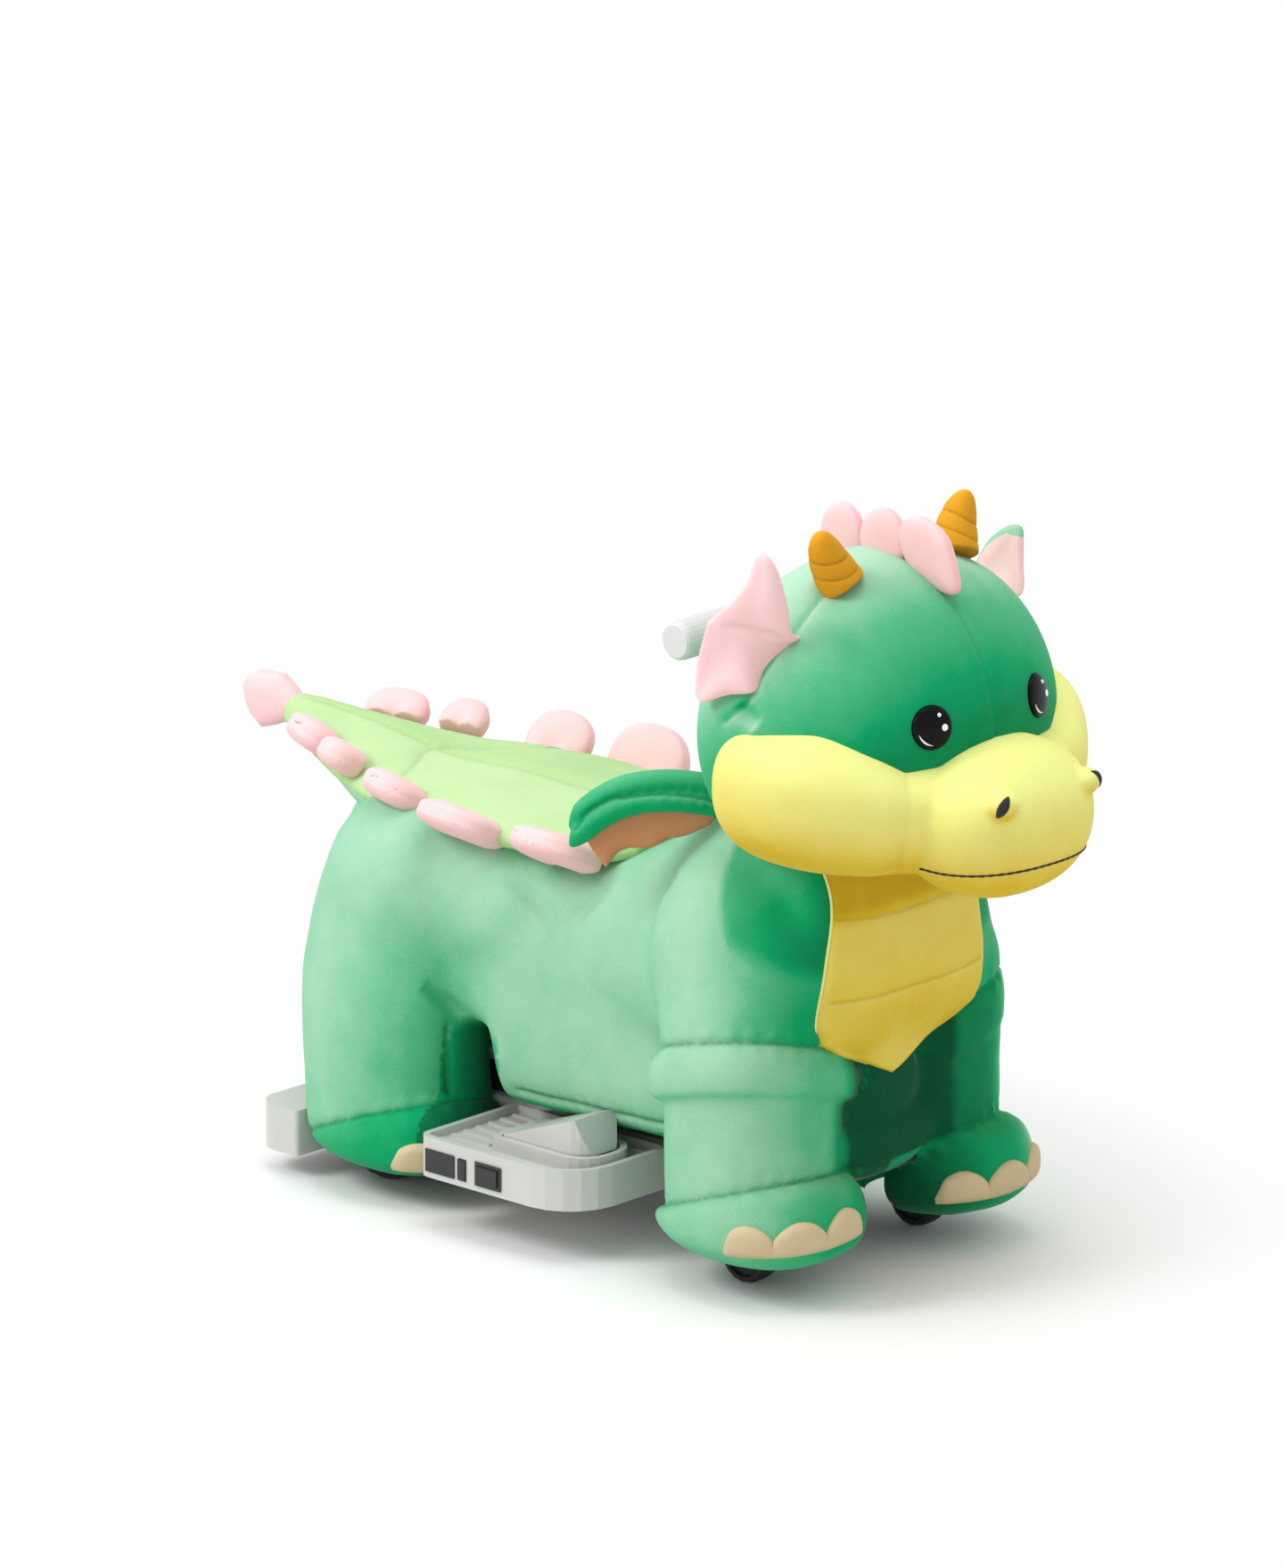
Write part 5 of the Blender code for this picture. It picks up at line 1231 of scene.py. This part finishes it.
def make_wings():
    for name, side in SIDES:
        spine = route(on_side(WING_SPINE, side), OUTLINE_STEP)
        t = np.linspace(0, 1, len(spine))
        size = WING_ROLL_R * np.clip(np.sqrt(np.clip((1 - t) * 9, 0, 1)), 0.25, 1)
        rolls = [tube_form(spine + np.array([x, side * y, z]), size * WING_ROLL_SHARE, 24)
                 for x, y, z in WING_ROLL_SHIFTS]
        made = fused(f"wing_roll_{name}", rolls, 0.0018, 2)
        crease = route([Vector(p) + Vector((0.004, side * 0.016, 0.0)) for p in spine[4:-6]])
        seam(made, [crease], 0.0022, 0.002, 0.0004, 0.012, dark=0.8)
        painted_light_tone(made, 0.02, 0.16, 0.42, 0.1, 51.0)
        finished(made, "green_plush", fill=0.85, replaces=(f"wing_{name}",))
        outline = outline_of(*[on_side(arc, side) for arc in WING_WEB_ARCS])
        web = stuffed_shape(f"wing_web_{name}", outline, (0.5, side * 0.8, 0), 0.009, 0.35, 0.5, 0.0016, 3)
        painted_light_tone(web, 0.5, 0.2, 0.2, 0.0, 53.0)
        finished(web, "tan_plush", slot="green_plush", fill=0.5, replaces=(f"wing_{name}",))


def cast(tree, aim, way, length):
    """What a ray that comes in to a point meets: place, normal, face and distance."""
    return tree.ray_cast(aim + way * length, -way, length)


def piping(name, points, radius, step, count, finish, slot):
    """A thin cord sewn along a line."""
    path = route(points, step)
    finished(piece(name, tube_form(path, np.full(len(path), radius), count)), finish, slot=slot)


def spread(values, rounds):
    """Even out a grid of values along its rows and columns."""
    for _ in range(rounds):
        padded = np.pad(values, 1, mode="edge")
        values = (padded[:-2, 1:-1] + padded[2:, 1:-1] + padded[1:-1, :-2] + padded[1:-1, 2:] + values) / 5
    return values


def bib_end(tree):
    """The turn below level at which a ray from the front meets the trunk at the bib's point."""
    for turn in np.linspace(0.0, math.radians(-70), 141):
        way = Vector((math.cos(turn), 0, math.sin(turn)))
        if cast(tree, BIB_MIDDLE, way, BIB_RAY)[0].z < BIB_POINT_Z:
            return turn
    return math.radians(-54)


def make_bib(tree):
    """The bib: a thin padded shield on the front of the trunk, found by casting inward."""
    turns = np.linspace(BIB_TOP_TURN, bib_end(tree), BIB_ROWS)
    columns = np.linspace(-1, 1, BIB_COLUMNS)
    ways, halves = [], []
    for turn in turns:
        way = Vector((math.cos(turn), 0, math.sin(turn)))
        level = cast(tree, BIB_MIDDLE, way, BIB_RAY)[0].z
        half = BIB_HALF_Y * min(max((level - BIB_POINT_Z) / (BIB_CORNER_Z - BIB_POINT_Z), 0.0) + 0.02, 1)
        half *= 1 - BIB_TOP_TAPER * float(ease(BIB_CORNER_Z, 0.37, level))
        ways.append(way)
        halves.append(half - 0.005 * math.exp(-((level - BIB_CORNER_Z) / 0.01) ** 2))
    away = spread(np.array([
        [BIB_RAY - cast(tree, BIB_MIDDLE + Vector((0, c * half, 0)), way, BIB_RAY)[3] for c in columns]
        for way, half in zip(ways, halves)]), 14)
    rows = []
    for turn, way, half, line in zip(turns, ways, halves, away):
        row = []
        for c, r in zip(columns, line):
            edge = min(1 - abs(c), (turns[0] - turn) / 0.08 + 0.02, 1.0)
            edge = max(min(edge * half / 0.012, 1.0), 0)
            lift = BIB_SUNK + BIB_SWELL * math.sqrt(1 - (1 - edge) ** 2)
            row.append(tuple(BIB_MIDDLE + Vector((0, c * half, 0)) + way * (r + lift)))
        rows.append(row)
    made = sheet_of("chest_bib", rows, BIB_MIDDLE)
    lines = [route([(0.31, y, level + sag * (abs(y) / 0.1) ** 2) for y in (-0.1, -0.05, 0, 0.05, 0.1)])
             for level, sag in ((0.333, 0.006), (0.259, 0.004))]
    seam(made, lines, 0.0022, 0.001, 0.0003, 0.012, dip=0.0004, dark=0.5)
    painted_light_tone(made, 0.3, 0.0, 0.5, 0.0, 61.0)
    # Painted shade of the head on the bib's top
    write_layer(made, "painted_light_tone", read_layer(made, "painted_light_tone") - 0.55 * ease(0.325, 0.35, points_of(made)[:, 2]))
    thickened(made, 0.003)
    finished(made, "yellow_plush", fill=0.5, replaces=("chest_panel",))
    edge = [row[0] for row in rows] + [row[-1] for row in rows[::-1]]
    piping("bib_piping", edge[::3], 0.0013, 0.002, 8, "yellow_thread", "yellow_plush")


def make_claws(tree, kind, name, side):
    """Joined arches on the front of a foot."""
    foot_x, foot_y, start, end, base, crown, tall, inner_rise, outer_rise = CLAW_SPANS[f"{kind}_{name}"]
    middle = Vector((foot_x, side * foot_y, 0))
    rows, columns, levels = [], 66, 10
    for i in range(columns + 1):
        t = i / columns
        turn = side * math.radians(start + (end - start) * t)
        lobe = abs(math.sin(math.pi * CLAWS_TO_A_FOOT * t)) ** 0.62
        lift = inner_rise * (1 - t) + outer_rise * t
        low, high = base + lift, crown + lift
        end_fade = min(t, 1 - t) * CLAWS_TO_A_FOOT * 2
        top = low + (high - low) * (0.36 + 0.64 * lobe) * min(1, 0.35 + end_fade * 2)
        way = Vector((math.cos(turn), math.sin(turn), 0))
        row = []
        for k in range(levels + 1):
            s = k / levels
            level = low + (top - low) * s
            hit, normal, _, _ = cast(tree, middle + Vector((0, 0, level)), way, 0.25)
            bulge = math.sqrt(max(1 - (2 * s - 1) ** 4, 0)) * (0.35 + 0.65 * lobe) * min(1, end_fade * 3)
            row.append(tuple(hit + normal * (-0.0012 + (0.0012 + tall) * bulge)))
        rows.append(row)
    made = thickened(sheet_of(f"claw_arches_{kind}_{name}", rows, middle), 0.002)
    painted_light_tone(made, 0.55, 0.1, 0.35, 0.0, 71.0)
    finished(made, "cream_plush", fill=0.6, replaces=(f"{kind}_claws_{name}",))
    piping(f"claw_piping_{kind}_{name}", [row[-1] for row in rows[::2]], 0.001, 0.0015, 6,
           "cream_thread", "cream_plush")


def hard_finish():
    """Give every hard node that shows its own surface."""
    finishes = {
        "white_plastic": (
            "chassis_base", "footrest_right", "footrest_left", "rear_bumper", "accelerator_pedal"),
        "painted_steel": (
            "frame_rail_right", "frame_rail_left", "front_crossbeam", "neck_post", "steering_tube",
            "steering_column", "handlebar", "front_fork_right", "front_fork_left", "tie_rod"),
        "black_plastic": (
            "seat_post_front", "seat_post_rear", "seat_board", "battery_pack", "controller_box",
            "power_rocker", "rocker_housing", "mode_switch", "label_plate"),
        "dark_plastic": ("gear_motor_right", "gear_motor_left"),
        "bright_steel": ("rear_axle", "pedal_pin"),
        "black_wheel": ("rear_wheel_right", "rear_wheel_left", "front_wheel_right", "front_wheel_left"),
        "grip_grey": ("grip_right", "grip_left"),
    }
    for finish, names in finishes.items():
        for name in names:
            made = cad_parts[name]
            made.data.materials.clear()
            made.data.materials.append(FINISH[finish])


def carved(made, cutters):
    """Take the frame's space out of a stuffed piece."""
    for form in cutters:
        tool = piece("space", form)
        applied(made, ("BOOLEAN", {"operation": "DIFFERENCE", "solver": "MANIFOLD", "object": tool}))
        bpy.data.objects.remove(tool, do_unlink=True)


def block(low, high):
    (x0, y0, z0), (x1, y1, z1) = low, high
    return skin([np.array([(x0, y0, z), (x1, y0, z), (x1, y1, z), (x0, y1, z)]) for z in (z0, z1)])


def post_space():
    return tube_form([(0.258, 0, 0.08), (0.2581, 0, 0.5206)], (0.0126, 0.0126), 24)


def frame_spaces():
    """The room that the frame, its posts and the wheels take inside the cover."""
    spaces = [
        block((-0.262, -0.0765, -0.02), (0.247, 0.0765, 0.3135)),
        block((-0.33, -0.071, -0.02), (0.207, 0.071, 0.106)),
        block((0.2024, -0.1276, 0.0847), (0.2726, 0.1276, 0.1059)),
        block((-0.38, -0.2, -0.02), (-0.2694, 0.2, 0.0626)),
        tube_form([(0.2024, 0, 0.198), (0.1348, 0, 0.511)], (0.0156, 0.0156), 24),
        post_space(),
    ]
    for _, side in SIDES:
        y0, y1 = sorted((0.0, side * 0.135))
        spaces.append(block((-0.273, y0, -0.02), (-0.157, y1, 0.11)))
        y0, y1 = sorted((0.0, side * 0.108))
        spaces.append(block((0.169, y0, 0.048), (0.208, y1, 0.0879)))
        y = side * 0.108
        spaces.append(tube_form([(0.22, y, -0.02), (0.2201, y, 0.0873)], (0.051, 0.051), 32))
        spaces.append(tube_form([(0.223, y, 0.1), (0.2231, y, 0.1133)], (0.0125, 0.0125), 20))
    return spaces


def make_camera():
    data = bpy.data.cameras.new("camera")
    data.sensor_fit = "VERTICAL"
    data.sensor_height = 36.0
    data.lens = VIEW_LENS
    data.clip_end = 50.0
    camera = link("camera", data)
    back = Vector((
        math.sin(VIEW_AZIMUTH) * math.cos(VIEW_ELEVATION), -math.cos(VIEW_AZIMUTH) * math.cos(VIEW_ELEVATION),
        math.sin(VIEW_ELEVATION)))
    camera.location = VIEW_TARGET + VIEW_DISTANCE * back
    camera.rotation_euler = back.to_track_quat("Z", "Y").to_euler()
    bpy.context.scene.camera = camera


def lamp(name, place, size, power):
    data = bpy.data.lights.new(name, "AREA")
    data.shape = "DISK"
    data.size = size
    data.energy = power
    made = link(name, data)
    made.location = place
    made.rotation_euler = (Vector(place) - Vector(LAMP_AIM)).to_track_quat("Z", "Y").to_euler()


def make_stage():
    """A pale floor that keeps the shadow near the object and fades into a white surround."""
    bpy.ops.mesh.primitive_plane_add(size=60.0, location=(0, 0, -0.0005))
    floor = bpy.context.active_object
    floor.name = "floor"
    made, tree, shader, place = shader_tree("pale_floor")
    set_values(shader, Base_Color=(0.92, 0.92, 0.92, 1.0), Roughness=0.95, Specular_IOR_Level=0.0)
    far = node(tree, "ShaderNodeVectorMath", operation="LENGTH")
    tree.links.new(place, far.inputs[0])
    fade = node(tree, "ShaderNodeMapRange", interpolation_type="SMOOTHSTEP")
    set_values(fade, From_Min=FLOOR_FADE[0], From_Max=FLOOR_FADE[1])
    tree.links.new(far.outputs["Value"], fade.inputs["Value"])
    glow = node(tree, "ShaderNodeEmission", Color=(1.0, 1.0, 1.0, 1.0))
    blend = node(tree, "ShaderNodeMixShader")
    tree.links.new(fade.outputs["Result"], blend.inputs[0])
    tree.links.new(shader.outputs[0], blend.inputs[1])
    tree.links.new(glow.outputs[0], blend.inputs[2])
    tree.links.new(blend.outputs[0], tree.nodes["Material Output"].inputs["Surface"])
    floor.data.materials.append(made)

    world = bpy.data.worlds.new("studio")
    world.use_nodes = True
    tree = world.node_tree
    background = tree.nodes["Background"]
    set_values(background, Color=(1.0, 1.0, 1.0, 1.0))
    seen = node(tree, "ShaderNodeLightPath").outputs["Is Camera Ray"]
    tree.links.new(plus(tree, times(tree, seen, 1.0 - AMBIENT), AMBIENT), background.inputs["Strength"])
    bpy.context.scene.world = world
    bpy.context.scene.view_settings.view_transform = "Standard"
    for row in LAMPS:
        lamp(*row)


make_camera()
make_stage()
cover = make_cover()
dome = make_dome()
muzzle = make_muzzle()
dome_tree, muzzle_tree, cover_tree = surface(dome), surface(muzzle), surface(cover)
make_eyes(dome_tree)
make_mouth(muzzle_tree)
make_nostrils(muzzle_tree)
make_ears()
make_horns()
make_crest()
saddle = make_saddle()
tail = make_tail()
make_scallops()
make_wings()
make_bib(cover_tree)
for label, sign in SIDES:
    for foot in ("front", "rear"):
        make_claws(cover_tree, foot, label, sign)
hard_finish()
carved(cover, frame_spaces())
carved(dome, [post_space()])
for dressed, plush_name, stuffing, covered in (
        (cover, "mint_plush", 0.8, (
            "body_plush", "front_leg_right", "front_leg_left", "rear_leg_right", "rear_leg_left")),
        (dome, "green_plush", 0.9, ("head_plush",)),
        (muzzle, "yellow_plush", 0.85, ("muzzle_plush",)),
        (saddle, "lime_plush", 0.6, ("saddle_pad",)),
        (tail, "mint_plush", 0.8, ("tail_plush",))):
    finished(dressed, plush_name, fill=stuffing, replaces=covered)
